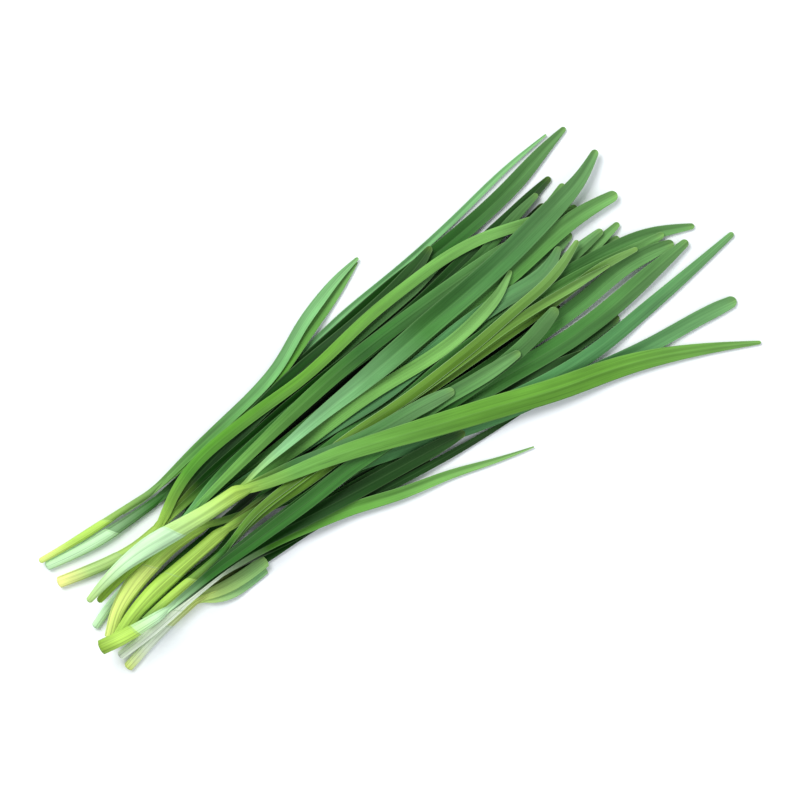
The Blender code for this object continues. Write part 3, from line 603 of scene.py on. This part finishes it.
def as_light(name):
    """A named colour as the shader wants it."""
    return (np.array(GREENS[name]) / SCREEN_FULL) ** SCREEN_GAMMA


print(len(GREENS), "colours")

# %% Colours along a leaf
SHEATH_REACH = 12.0  # mm beyond the neck that a leaf takes something of its stem's colour
BASE_REACH = 26.0  # mm beyond the neck where it has the colour of its base
MIDDLE_REACH = 100.0  # that of its middle
OWN_REACH = 150.0  # and its own
ACROSS = np.array((-1.0, -0.93, -0.78, -0.55, -0.28, -0.1, 0.0, 0.1, 0.28, 0.55, 0.78, 0.93, 1.0))
NECK_SHARE = 0.3  # of the stem's colour at the end of the sheath's reach
FAR_SPAN = 70.0  # the last mm of a leaf grow dusty towards its tip
FAR_CURVE = 1.5  # slowly at first
FAR_SHARE = 0.42
FAR_GREEN = 0.1  # but less so on a leaf with less green light than this
TIP_TURN = 5.0  # and the very last turn lime
TIP_SHARE = 0.25
# Painted light and shade: one half of each folded leaf is painted lighter and the other darker, as light
# falling on the fold would make them; which half is lighter is drawn at random for each leaf.
PAINTED_HALF_SHADE = 0.13  # one half of a leaf is lighter by this share, the other darker
KEEL_TURN = 0.08  # share of the half width over which one half turns into the other


def mixed(share, first, second):
    """Values between two, with this share of the second."""
    return first * (1 - share) + share * second


def beside_neck(neck, base):
    """The colour of a leaf where the sheath's reach ends."""
    return mixed(NECK_SHARE, base, neck)


def leaf_shades(at, root_end, neck_colour, colour, dice):
    """The colour of each point of a leaf's sheet, and how near its tip each row is."""
    names = colour.split()
    base, middle, own = (as_light(names[i]) for i in (0, len(names) // 2, -1))
    neck = as_light(neck_colour)
    shades = read_off(at - root_end, (0, SHEATH_REACH, BASE_REACH, MIDDLE_REACH, OWN_REACH),
                      (neck, beside_neck(neck, base), base, middle, own))
    to_tip = (at[-1] - at)[:, None]
    far = FAR_SHARE * min(own[1] / FAR_GREEN, 1) ** 2 * np.clip(1 - to_tip / FAR_SPAN, 0, 1) ** FAR_CURVE
    near_tip = np.clip(1 - to_tip / TIP_TURN, 0, 1) ** 2
    shades = mixed(TIP_SHARE * near_tip, mixed(far, shades, as_light("dusty")), as_light("rind"))
    # Painted light and shade across the fold of the leaf.
    halves = 1 + dice.choice((-1, 1)) * PAINTED_HALF_SHADE * np.tanh(ACROSS / KEEL_TURN)
    return shades[:, None, :] * halves[:, None], near_tip


# %% [markdown]
# ## A leaf as an open sheet
#
# Each leaf starts as an open sheet of quads over its route, thirteen points across, which carries what
# the next step and the finish need: its thickness, how far across and along each point is, and its
# colour. The long distances between the solid's sections are eased with a curve that passes through the
# same heights.

# %% Heights eased between sections
ALONG_STEP = 1.6  # mm between the rows of a sheet
TIP_ROWS = 14
TIP_REACH = 7.0  # the last mm of a leaf have rows closer together
TIP_CROWDING = 1.6  # and the closer the nearer to the tip they are


def eased(at, stations, values):
    """A curve through the values at the stations, with the slope at each taken from its neighbours."""
    slope = np.gradient(values, stations)
    i = np.clip(np.searchsorted(stations, at, side="right") - 1, 0, len(stations) - 2)
    gap = stations[i + 1] - stations[i]
    t = (at - stations[i]) / gap
    return (
        values[i] * (2 * t**3 - 3 * t**2 + 1)
        + values[i + 1] * (3 * t**2 - 2 * t**3)
        + slope[i] * gap * (t**3 - 2 * t**2 + t)
        + slope[i + 1] * gap * (t**3 - t**2)
    )


def leaf_rows(length):
    """Distances along a leaf at which its sheet has rows."""
    body = np.arange(0, length - TIP_REACH, ALONG_STEP)
    tip = length - TIP_REACH * (1 - np.linspace(0, 1, TIP_ROWS)) ** TIP_CROWDING
    return np.concatenate([body, tip])


# %% One sheet
GROOVE = 0.1  # share of the half width over which the midrib's fold is rounded
MIDRIB_THICK = 0.62  # mm
MARGIN_THICK = 0.3
THICK_CURVE = 1.5  # how the thickness falls off between them
FULL_THICK_AT = 1.5  # half width of a leaf, in mm, from which it is fully thick
LEAST_THICK = 0.2  # the share of it that a narrower one keeps at least
LEAST_TIP = 0.06  # mm, half the width that the end of a tip still has
WAVE_HEIGHT = 0.16  # mm that the margins rise and fall
SHORT_WAVES = (9, 14)  # mm
LONG_WAVE = 31.0
FULL_WAVE_AT = 3.0  # half width of a leaf, in mm, from which its margins wave fully
# The margins' paleness is partly painted highlight: the bright rim that light gives the edges of leaves,
# most on steeply folded leaves and at the tips.
FLAT_RIM = 0.15  # how pale the margins of a leaf are
FOLDED_RIM = 0.3  # and how much more so for its own fold, and at its tip
TIP_RIM = 0.8
LEAF_STREAK = 0.12  # how much darker the streaks along a leaf are
GRAIN_SHIFT = 7.0  # sets the grain of one leaf off from that of the next


def leaf_sheet(spec, blade, stem_route, neck_colour, colour, seed):
    """The points of a leaf's sheet in metres, and what each point carries."""
    at = leaf_rows(blade["at"][-1])
    route, lengths = leaf_route(spec, stem_route)
    middle = read_off(lengths[-1] - blade["at"][-1] + at, lengths, route) - plan_middle
    half = half_widths(spec, at, blade["root_end"], least=LEAST_TIP)[:, None]
    spine = eased(at, blade["at"], blade["spine"])[:, None]
    left, right = (eased(at, blade["at"], blade[key] / blade["half"])[:, None] for key in ("left", "right"))
    folded = (np.sqrt(ACROSS**2 + GROOVE**2) - GROOVE) / (math.sqrt(1 + GROOVE**2) - GROOVE)
    dice = np.random.default_rng(seed)
    phase = dice.uniform(0, 2 * math.pi, 2)
    short_wave = np.sin(at / dice.uniform(*SHORT_WAVES) + phase[0])
    curl = WAVE_HEIGHT * short_wave * np.sin(at / LONG_WAVE + phase[1])
    curl = curl[:, None] * ACROSS**3 * np.clip(half / FULL_WAVE_AT, 0, 1)
    height = spine + np.where(ACROSS > 0, left, right) * half * folded + curl
    thick = MARGIN_THICK + (MIDRIB_THICK - MARGIN_THICK) * (1 - np.abs(ACROSS)) ** THICK_CURVE
    thick = thick * np.clip(half / FULL_THICK_AT, LEAST_THICK, 1)
    thick[:, (0, -1)] = 0
    thick[(0, -1), :] = 0
    shades, near_tip = leaf_shades(at, blade["root_end"], neck_colour, colour, dice)
    every = np.ones((len(at), len(ACROSS)))
    return {
        "places": np.dstack([beside_line(middle, sideways(middle), half * ACROSS), height]) * MM,
        "thick": thick * MM,
        "across": every * ACROSS,
        "streak": every * LEAF_STREAK,
        "rim": every * (FLAT_RIM + FOLDED_RIM * abs(spec["fold"] - 1) + TIP_RIM * near_tip),
        "tint": shades,
        "grain": np.dstack([half * ACROSS, every * at[:, None], every * GRAIN_SHIFT * seed]),
    }


# %% Meshes that carry layers
# What each layer holds, and the name of that in the mesh.
COLOUR_LAYER, NUMBER_LAYER = ("FLOAT_COLOR", "color"), ("FLOAT", "value")
KINDS = {"tint": COLOUR_LAYER, "inner": COLOUR_LAYER, "grain": ("FLOAT_VECTOR", "vector")}


def layered_mesh(name, layers, edges=(), faces=()):
    """A mesh through the layers' places, whose points carry the other layers."""
    mesh = bpy.data.meshes.new(name)
    mesh.from_pydata(layers.pop("places"), edges, faces)
    for layer, values in layers.items():
        kind, key = KINDS.get(layer, NUMBER_LAYER)
        if key == "color":
            values = np.column_stack([values, np.ones(len(values))])
        carried = mesh.attributes.new(layer, kind, "POINT")
        carried.data.foreach_set(key, np.ascontiguousarray(values, np.float32).ravel())
    return mesh


def mesh_of_sheets(name, sheets):
    """One mesh of open sheets of quads, whose faces look up."""
    corners, first = [], 0
    for sheet in sheets:
        rows, columns = sheet["thick"].shape
        grid = first + np.arange(rows * columns).reshape(rows, columns)
        quads = (grid[:-1, :-1], grid[1:, :-1], grid[1:, 1:], grid[:-1, 1:])
        corners.append(np.stack(quads, axis=-1).reshape(-1, 4))
        first += rows * columns
    layers = {key: np.concatenate([sheet[key].reshape(-1, *sheet[key].shape[2:]) for sheet in sheets])
              for key in sheets[0]}
    return layered_mesh(name, layers, faces=np.vstack(corners).tolist())


# %% [markdown]
# ## Thickness by Geometry Nodes
#
# Every leaf goes through the same rule, so one node tree does it for all: the sheet is copied, turned
# over and pushed down by the thickness that each point carries. The thickness is nothing along the
# margins, the tip and the root, so the two faces meet there and merging by distance closes the leaf.
# Faint ribs over the veins are raised in the same tree, because they have to show at the edge of a leaf
# as well as on its face.

# %% Helpers for node trees
TABLE_GAP = 0.00003  # m, kept between a piece and the table


def new_tree(name, sizes):
    """An empty geometry tree with an input for each named size, and what its inputs give."""
    tree = bpy.data.node_groups.new(name, "GeometryNodeTree")
    for label, value in {"Geometry": None, **sizes, "Table gap": TABLE_GAP, "Material": None}.items():
        kind = {float: "Float", int: "Int"}.get(type(value), label)
        item = tree.interface.new_socket(label, in_out="INPUT", socket_type="NodeSocket" + kind)
        if value is not None:
            item.default_value = value
    tree.interface.new_socket("Geometry", in_out="OUTPUT", socket_type="NodeSocketGeometry")
    return tree, {socket.name: socket for socket in tree.nodes.new("NodeGroupInput").outputs}


def add_node(tree, kind, *sources, gives=0, **named):
    """What a new node gives. Sources or values feed its first inputs, and its inputs with Capital_names.

    The other named values are the node's settings.
    """
    node = tree.nodes.new(kind)
    feeds = dict(enumerate(sources))
    for key, value in named.items():
        if key[0].isupper():
            feeds[key.replace("_", " ")] = value
        else:
            setattr(node, key, value)
    for socket, source in feeds.items():
        if isinstance(source, bpy.types.NodeSocket):
            tree.links.new(source, node.inputs[socket])
        elif source is not None:
            node.inputs[socket].default_value = source
    return node.outputs[gives]


def maths(tree, operation, *sources):
    """The result of a sum with these sources or numbers."""
    return add_node(tree, "ShaderNodeMath", *sources, operation=operation)


def ranged(tree, source, bounds, to):
    """What a source becomes when it is carried from between two bounds to between two other values."""
    return add_node(tree, "ShaderNodeMapRange", source, *bounds, *to)


def vectors(tree, operation, first, second):
    return add_node(tree, "ShaderNodeVectorMath", first, second, operation=operation)


def scaled(tree, vector, amount):
    return add_node(tree, "ShaderNodeVectorMath", vector, Scale=amount, operation="SCALE")


def moved(tree, geometry, **how):
    return add_node(tree, "GeometryNodeSetPosition", geometry, **how)


def end_tree(tree, mesh, given):
    """Keeps the mesh above the table, shades it smooth, makes it real and gives it the tree's material."""
    lowest = add_node(tree, "ShaderNodeCombineXYZ", -1.0, -1.0, given["Table gap"])
    held = vectors(tree, "MAXIMUM", add_node(tree, "GeometryNodeInputPosition"), lowest)
    mesh = add_node(tree, "GeometryNodeSetShadeSmooth", moved(tree, mesh, Position=held))
    mesh = add_node(tree, "GeometryNodeRealizeInstances", mesh)
    mesh = add_node(tree, "GeometryNodeSetMaterial", mesh, Material=given["Material"])
    tree.links.new(mesh, tree.nodes.new("NodeGroupOutput").inputs[0])


# %% The tree that makes a leaf of a sheet
def leaf_tree():
    tree, given = new_tree("leaf_of_sheet", {
        "Rib height": 0.00004, "Ribs per millimetre": 1.6, "Least thickness": 0.0001, "Weld": 0.000002,
    })
    thick, grain = (add_node(tree, "GeometryNodeInputNamedAttribute", Name=name, data_type=kind)
                    for name, kind in (("thick", "FLOAT"), ("grain", "FLOAT_VECTOR")))
    normal = add_node(tree, "GeometryNodeInputNormal")
    across_mm = add_node(tree, "ShaderNodeSeparateXYZ", grain)
    turns = maths(tree, "MULTIPLY", across_mm, given["Ribs per millimetre"])
    wave = maths(tree, "COSINE", maths(tree, "MULTIPLY", turns, 2 * math.pi))
    inside = maths(tree, "GREATER_THAN", thick, given["Least thickness"])
    height = maths(tree, "MULTIPLY", maths(tree, "MULTIPLY", wave, given["Rib height"]), inside)
    face = moved(tree, given["Geometry"], Offset=scaled(tree, normal, height))
    down = scaled(tree, normal, maths(tree, "MULTIPLY", thick, -1.0))
    under = add_node(tree, "GeometryNodeFlipFaces", moved(tree, given["Geometry"], Offset=down))
    both = add_node(tree, "GeometryNodeJoinGeometry", under)
    tree.links.new(face, both.node.inputs[0])
    end_tree(tree, add_node(tree, "GeometryNodeMergeByDistance", both, Distance=given["Weld"]), given)
    return tree


LEAF_TREE = leaf_tree()
print("The leaf tree has", len(LEAF_TREE.nodes), "nodes")

# %% [markdown]
# ## Stems as swept rings
#
# A chive has no true stem: the leaves' bases are wrapped round each other into a slightly flattened tube.
# A profile swept along a path gives that. The outer sheath ends part of the way up in a slanting mouth,
# where it stands out a little and the next layer, of another green, comes into sight. At the cut end the
# path goes on a few tenths of a millimetre while the ring shrinks in steps, which makes the layers that
# the knife laid bare. At the neck it runs out in a point over the top leaf.

# %% Paths of the stems
STEM_ROW = 1.5  # mm between the points of a stem's path
SHEATH_SHARE = 0.66  # of a stem is wrapped in its outer sheath
MOUTH_SHARE = 0.2  # of its length is how much the mouth of the sheath slants
# mm past the cut and share of the radius: the layers of a cut end
CUT_LAYERS = ((0.12, 0.94), (0.2, 0.8), (0.34, 0.78), (0.42, 0.55), (0.6, 0.53), (0.66, 0.25), (0.7, 0.04))
# mm past the neck and share of the radius: how a stem runs out over its top leaf
TAPER = ((1.0, 0.97), (2.0, 0.91), (3.0, 0.83), (4.5, 0.7), (6.0, 0.55), (7.5, 0.38), (9.0, 0.2),
         (10.0, 0.04))
TAPER_RISE = 0.15  # mm that it still stands over the leaf there
RISE_SPAN = 7.0  # mm over which it comes down to that
SWELLING = (0.025, 6.3)  # a stem's radius varies by this share, over this many mm
SHEATH_TURN = 0.3  # share of a stem over which its cut end takes the colour of the sheath
INNER_SHARE = 0.65  # of the neck's colour in the layer that shows at the sheath's mouth
LAYER_LIGHT = (1.12, 0.72)  # the cut layers are dark and light in turn
STEM_STREAK = 0.28  # how much darker the streaks along a stem are
NO_MARGIN = 0.5  # a stem has no margin or midrib, so its points count as half way across


def stem_path(stem, radii, blade, colours, leaf_colour, seed):
    """Points of a stem's path in metres, and what each one carries. The blade is its top leaf's."""
    lengths = lengths_along(stem)
    at = np.linspace(0, lengths[-1], int(lengths[-1] / STEM_ROW) + 2)
    places = np.column_stack([eased(at, lengths, column) for column in stem.T])
    radius = eased(at, lengths, radii) * (1 + SWELLING[0] * np.sin(at / SWELLING[1] + seed))
    back = (places[0] - places[1]) / np.linalg.norm(places[0] - places[1])
    cut_out, cut_share = np.array(CUT_LAYERS[::-1]).T
    taper_out, taper_share = np.array(TAPER).T
    leaf_at = blade["root_end"] + taper_out
    over = stem[-1, 2] + radius[-1] - blade["spine"][1]
    rise = np.interp(taper_out, (0, RISE_SPAN), (over, TAPER_RISE))
    middle = eased(leaf_at, blade["at"], blade["spine"]) + rise - radius[-1] * taper_share
    past_neck = np.column_stack([read_off(leaf_at, blade["at"], blade["points"]), middle])
    along = np.concatenate([0 * cut_out, at, at[-1] + taper_out])
    cut_end, sheath, neck, leaf_base = (as_light(name) for name in (*colours, leaf_colour))
    outer = read_off(along, (0, SHEATH_TURN * at[-1]), (cut_end, sheath))
    outer[:len(cut_out)] *= np.resize(LAYER_LIGHT, len(cut_out))[:, None]
    sheath_end = SHEATH_SHARE * at[-1]
    every = np.ones(len(along))
    return {
        "places": np.vstack([places[0] + back * cut_out[:, None], places, past_neck]) * MM,
        "width": np.concatenate([radius[0] * cut_share, radius, radius[-1] * taper_share]) * MM,
        "past": along - sheath_end,
        "slant": every * MOUTH_SHARE * at[-1],
        "across": every * NO_MARGIN,
        "streak": every * STEM_STREAK,
        "tint": outer,
        "inner": read_off(along, (sheath_end, at[-1], at[-1] + SHEATH_REACH),
                          (mixed(INNER_SHARE, sheath, neck), neck, beside_neck(neck, leaf_base))),
        "grain": np.column_stack([0 * along, along, every * GRAIN_SHIFT * seed]),
    }


# %% The tree that makes a stem of a path
MOUTH_STEP = 0.7  # mm on either side of its mouth over which the sheath thins to nothing
HALF_TURN = 0.5  # the mouth is lowest on one side of the stem and highest half a turn on


def stem_tree():
    tree, given = new_tree("stem_of_path", {
        "Sides": 44, "Flattening": 0.06, "Overlap": 0.04, "Ridges": 11, "Ridge height": 0.012,
        "Slimming": -0.03, "Sheath thickness": 0.00016,
    })
    path = add_node(tree, "GeometryNodeMeshToCurve", given["Geometry"])
    path = add_node(tree, "GeometryNodeSetCurveNormal", path)
    ring = add_node(tree, "GeometryNodeCurvePrimitiveCircle", Resolution=given["Sides"], Radius=1.0)
    turn = add_node(tree, "GeometryNodeSplineParameter")
    ring = add_node(tree, "GeometryNodeStoreNamedAttribute", ring, Name="turn", Value=turn)
    # Twice round for an oval, a low step where the sheath overlaps itself, and a ridge for each rib.
    swell = maths(tree, "MULTIPLY_ADD", turn, given["Overlap"], given["Slimming"])
    for times, height in ((2, given["Flattening"]), (given["Ridges"], given["Ridge height"])):
        angle = maths(tree, "MULTIPLY", maths(tree, "MULTIPLY", turn, times), 2 * math.pi)
        swell = maths(tree, "MULTIPLY_ADD", maths(tree, "COSINE", angle), height, swell)
    where = add_node(tree, "GeometryNodeInputPosition")
    ring = moved(tree, ring, Offset=scaled(tree, where, swell))
    width, turned, slant, past = (add_node(tree, "GeometryNodeInputNamedAttribute", Name=name)
                                  for name in ("width", "turn", "slant", "past"))
    tube = add_node(tree, "GeometryNodeCurveToMesh", path, Profile_Curve=ring, Scale=width, Fill_Caps=True)
    # The mouth slants, so how far past it a point is depends on the turn too.
    lag = maths(tree, "MULTIPLY_ADD", maths(tree, "PINGPONG", turned, HALF_TURN), slant, past)
    tube = add_node(tree, "GeometryNodeStoreNamedAttribute", tube, Name="lag", Value=lag)
    sheath = ranged(tree, lag, (-MOUTH_STEP, MOUTH_STEP), (given["Sheath thickness"], 0.0))
    normal = add_node(tree, "GeometryNodeInputNormal")
    end_tree(tree, moved(tree, tube, Offset=scaled(tree, normal, sheath)), given)
    return tree


STEM_TREE = stem_tree()
print("The stem tree has", len(STEM_TREE.nodes), "nodes")

# %% [markdown]
# ## The leaf finish
#
# A fresh leaf is not one green. Parallel veins run the length of it as faint lighter and darker streaks,
# a few of them deeper than the rest, larger patches vary it slowly, and the margins are paler: partly
# the edge letting light through, partly a painted rim highlight. A thin wax makes broad soft highlights.
# The colour layer of each point comes first, and the streaks read the distance across and along the leaf,
# so they follow every bend.

# %% Sizes of the finish
GIRTH = 16.0  # mm of grain once round a stem
NOISE_ROUGHNESS = 0.6
# Each noise: how often it turns in a mm across and along, its detail, what it is read between, and for
# the first two how much light that makes.
VEINS = ((2.6, 0.035, 1.0), 3.0, (0.3, 0.7), (0.86, 1.14))
PATCHES = ((0.16, 0.03, 1.0), 2.0, (0.3, 0.7), (0.84, 1.16))
STREAKS = ((0.9, 0.008, 1.0), 2.0, (0.5, 0.62))
STREAK_TOP = 1.06  # how bright it is between the streaks
LAYER_TURN = 0.3  # mm past the mouth of the sheath where the inner layer has its own colour
# The colour of the pale margins, partly the leaf's own pale edge and partly a painted rim highlight.
MARGIN_PALE_AND_HIGHLIGHT = (0.32, 0.52, 0.24, 1.0)
MARGIN_BAND = (0.86, 1.0)  # how far across a leaf its margin pales
MIDRIB_BAND, MIDRIB_PALENESS = (0.0, 0.09), 0.07
MOUTH_MIDDLE = 0.45  # mm before the sheath's mouth is the middle of its pale rim
MOUTH_BAND, MOUTH_PALENESS = (0.15, 0.44), 0.4
ROUGHNESS = (0.43, 0.6)  # from the least to the most, with the veins
ROUGHNESS_BAND = (0.25, 0.75)
BUMP_STRENGTH, BUMP_HEIGHT = 0.35, 0.00012
WAX_SHINE = 0.12


# %% A leaf finish
def drawn_noise(tree, grain, scale, detail, *_):
    """Noise drawn out along the leaf."""
    stretched = add_node(tree, "ShaderNodeMapping", grain, Scale=scale)
    return add_node(tree, "ShaderNodeTexNoise", stretched, Scale=1.0, Detail=detail,
                    Roughness=NOISE_ROUGHNESS)


def colour_mix(tree, share, first, second):
    """The colour between two, with this share of the second."""
    unused = [None] * 5  # the node's inputs for numbers and vectors
    return add_node(tree, "ShaderNodeMix", share, *unused, first, second, gives=2, data_type="RGBA")


def leaf_finish(name):
    material = bpy.data.materials.new(name)
    material.use_nodes = True
    tree = material.node_tree
    shader = tree.nodes["Principled BSDF"]
    tint, inner, grain, across, rim, turn, lag, streak = (
        add_node(tree, "ShaderNodeAttribute", attribute_name=layer, gives=kind) for layer, kind in (
            ("tint", "Color"), ("inner", "Color"), ("grain", "Vector"), ("across", "Fac"), ("rim", "Fac"),
            ("turn", "Fac"), ("lag", "Fac"), ("streak", "Fac")))
    # Round a stem the grain goes with the turn, which is nothing on a leaf.
    grain = vectors(tree, "ADD", grain, scaled(tree, (GIRTH, 0.0, 0.0), turn))
    veins, patches, streaks = (drawn_noise(tree, grain, *sizes) for sizes in (VEINS, PATCHES, STREAKS))
    light = maths(tree, "MULTIPLY", ranged(tree, veins, *VEINS[2:]), ranged(tree, patches, *PATCHES[2:]))
    dark = ranged(tree, streaks, STREAKS[2], (STREAK_TOP, maths(tree, "SUBTRACT", 1.0, streak)))
    # Past the mouth of its sheath a stem has the colour of the layer inside. A leaf has no such layer.
    colour = colour_mix(tree, ranged(tree, lag, (0.0, LAYER_TURN), (0.0, 1.0)), tint, inner)
    colour = scaled(tree, colour, maths(tree, "MULTIPLY", light, dark))
    # Margins, midrib and the sheath's mouth are paler and yellower; on the margins this is partly a painted
    # rim highlight.
    off_middle = maths(tree, "ABSOLUTE", across)
    off_mouth = maths(tree, "ABSOLUTE", maths(tree, "ADD", lag, MOUTH_MIDDLE))
    pale = maths(tree, "ADD", ranged(tree, off_middle, MARGIN_BAND, (0.0, rim)),
                 ranged(tree, off_middle, MIDRIB_BAND, (MIDRIB_PALENESS, 0.0)))
    pale = maths(tree, "ADD", pale, ranged(tree, off_mouth, MOUTH_BAND, (MOUTH_PALENESS, 0.0)))
    bump = add_node(tree, "ShaderNodeBump", Strength=BUMP_STRENGTH, Distance=BUMP_HEIGHT, Height=veins)
    for socket, source in (("Base Color", colour_mix(tree, pale, colour, MARGIN_PALE_AND_HIGHLIGHT)),
                           ("Roughness", ranged(tree, veins, ROUGHNESS_BAND, ROUGHNESS)), ("Normal", bump)):
        tree.links.new(source, shader.inputs[socket])
    shader.inputs["Specular IOR Level"].default_value = WAX_SHINE
    shader.inputs["Metallic"].default_value = 0.0
    return material


# %% [markdown]
# ## Putting a shoot together
#
# Each shoot is one grown piece, so its stem and leaves end in one mesh. The two trees are run on the path
# and on the sheets, the results are turned into plain meshes, and those are joined.

# %% Running a tree
def place(name, data):
    """A new object in the scene."""
    thing = bpy.data.objects.new(name, data)
    bpy.context.scene.collection.objects.link(thing)
    return thing


def run_tree(mesh, tree, material):
    """The mesh that a tree makes of this one."""
    thing = place("raw_" + mesh.name, mesh)
    modifier = thing.modifiers.new("tree", "NODES")
    modifier.node_group = tree
    for item in tree.interface.items_tree:
        if item.name == "Material":
            modifier[item.identifier] = material
    bpy.context.view_layer.update()
    made = bpy.data.meshes.new_from_object(thing.evaluated_get(bpy.context.evaluated_depsgraph_get()))
    bpy.data.objects.remove(thing)
    return made


# %% Dressing every shoot
for number, ((name, _, stem_route, specs), (_, stem, radii, blades)) in enumerate(zip(SHOOTS, shoots)):
    colours, *tones = LOOKS[name].split(" | ")
    colours = colours.split()
    finish = leaf_finish(name + "_finish")
    sheets = [leaf_sheet(spec, blade, stem_route, colours[-1], tone, 10 * number + i)
              for i, (spec, blade, tone) in enumerate(zip(specs, blades, tones))]
    leaves = run_tree(mesh_of_sheets(name + "_sheets", sheets), LEAF_TREE, finish)
    layers = stem_path(stem, radii, blades[-1], colours, tones[-1].split()[0], number)
    line = [(i, i + 1) for i in range(len(layers["places"]) - 1)]
    tube = run_tree(layered_mesh(name + "_path", layers, edges=line), STEM_TREE, finish)
    pieces = [place(name + "_leaves", leaves), place(name + "_dressed", tube)]
    shoot = pieces[1]
    with bpy.context.temp_override(active_object=shoot, selected_editable_objects=pieces, object=shoot):
        bpy.ops.object.join()
    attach(shoot, "root")
    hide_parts(name)
    print(name, "has", len(shoot.data.polygons), "faces")

# %% [markdown]
# ## The table, the light and the camera
#
# The bunch lies on a plain pale table. The light is large and soft from the upper left, so that the left
# half of each folded leaf is bright and the right half is darker, and the gaps of the pile go nearly
# black. Painted light and shade are added to this: one half of each leaf is painted lighter and the other
# darker, and the leaves low in the pile are painted darker than they are. The camera looks straight down
# with a long lens, turned so that the bunch lies across the picture.

# %% Table
TABLE_SIDE = 6.0  # m
TABLE_DROP = 0.0004  # m under the bunch, so that nothing cuts into it
TABLE_WHITE, TABLE_ROUGHNESS = (0.92, 0.95, 1.0, 1.0), 0.7
bpy.ops.mesh.primitive_plane_add(size=TABLE_SIDE, location=(0, 0, -TABLE_DROP))
table = bpy.context.object
table.name = "table"
paint = bpy.data.materials.new("table_white")
paint.use_nodes = True
painted = paint.node_tree.nodes["Principled BSDF"].inputs
painted["Base Color"].default_value = TABLE_WHITE
painted["Roughness"].default_value = TABLE_ROUGHNESS
table.data.materials.append(paint)
table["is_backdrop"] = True

# %% Camera
LENS = 150.0  # mm
SENSOR = 36.0
SIGHT = 20.0  # m, as far as it sees
MID_HEIGHT = 0.008  # the height in the pile that is shown at the board's own size
board_middle = (on_table([(BOARD_SIDE / 2, BOARD_SIDE / 2)])[0] - plan_middle) * MM
lens = bpy.data.cameras.new("camera")
lens.lens, lens.sensor_width, lens.clip_end = LENS, SENSOR, SIGHT
camera = place("camera", lens)
distance = BOARD_SIDE * PLAN_STEP * MM * LENS / SENSOR
camera.location = (*board_middle, MID_HEIGHT + distance)
camera.rotation_euler = (0, 0, -LAY_ANGLE)
bpy.context.scene.camera = camera
print("The camera is", round(distance, 2), "m above the pile")

# %% Lights
# Each square light: its place on the board's plan, in metres from its middle, its side, power and colour.
LAMPS = {
    "key": ((-0.5, 0.55, 1.15), 0.7, 15.8, (1.0, 1.0, 0.97)),
    "fill": ((0.9, -0.6, 1.4), 1.6, 8.8, (0.96, 0.98, 1.0)),
}
SKY, SKY_STRENGTH = (0.97, 0.99, 1.0, 1.0), 0.47
for name, ((x, y, z), side, power, colour) in LAMPS.items():
    lamp = bpy.data.lights.new(name, "AREA")
    lamp.shape, lamp.size, lamp.energy, lamp.color = "SQUARE", side, power, colour
    thing = place(name, lamp)
    c, s = math.cos(LAY_ANGLE), math.sin(LAY_ANGLE)
    thing.location = (x * c + y * s, -x * s + y * c, z)
    thing.rotation_euler = (-thing.location).to_track_quat("-Z", "Y").to_euler()
world = bpy.data.worlds.new("studio")
world.use_nodes = True
sky = world.node_tree.nodes["Background"].inputs
sky["Color"].default_value = SKY
sky["Strength"].default_value = SKY_STRENGTH
bpy.context.scene.world = world
bpy.context.scene.view_settings.view_transform = "Standard"
print("The lights have", sum(power for _, _, power, _ in LAMPS.values()), "W in all")

# %% Sizes kept
visual_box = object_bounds()
say_reach("The dressed bunch reaches", visual_box)
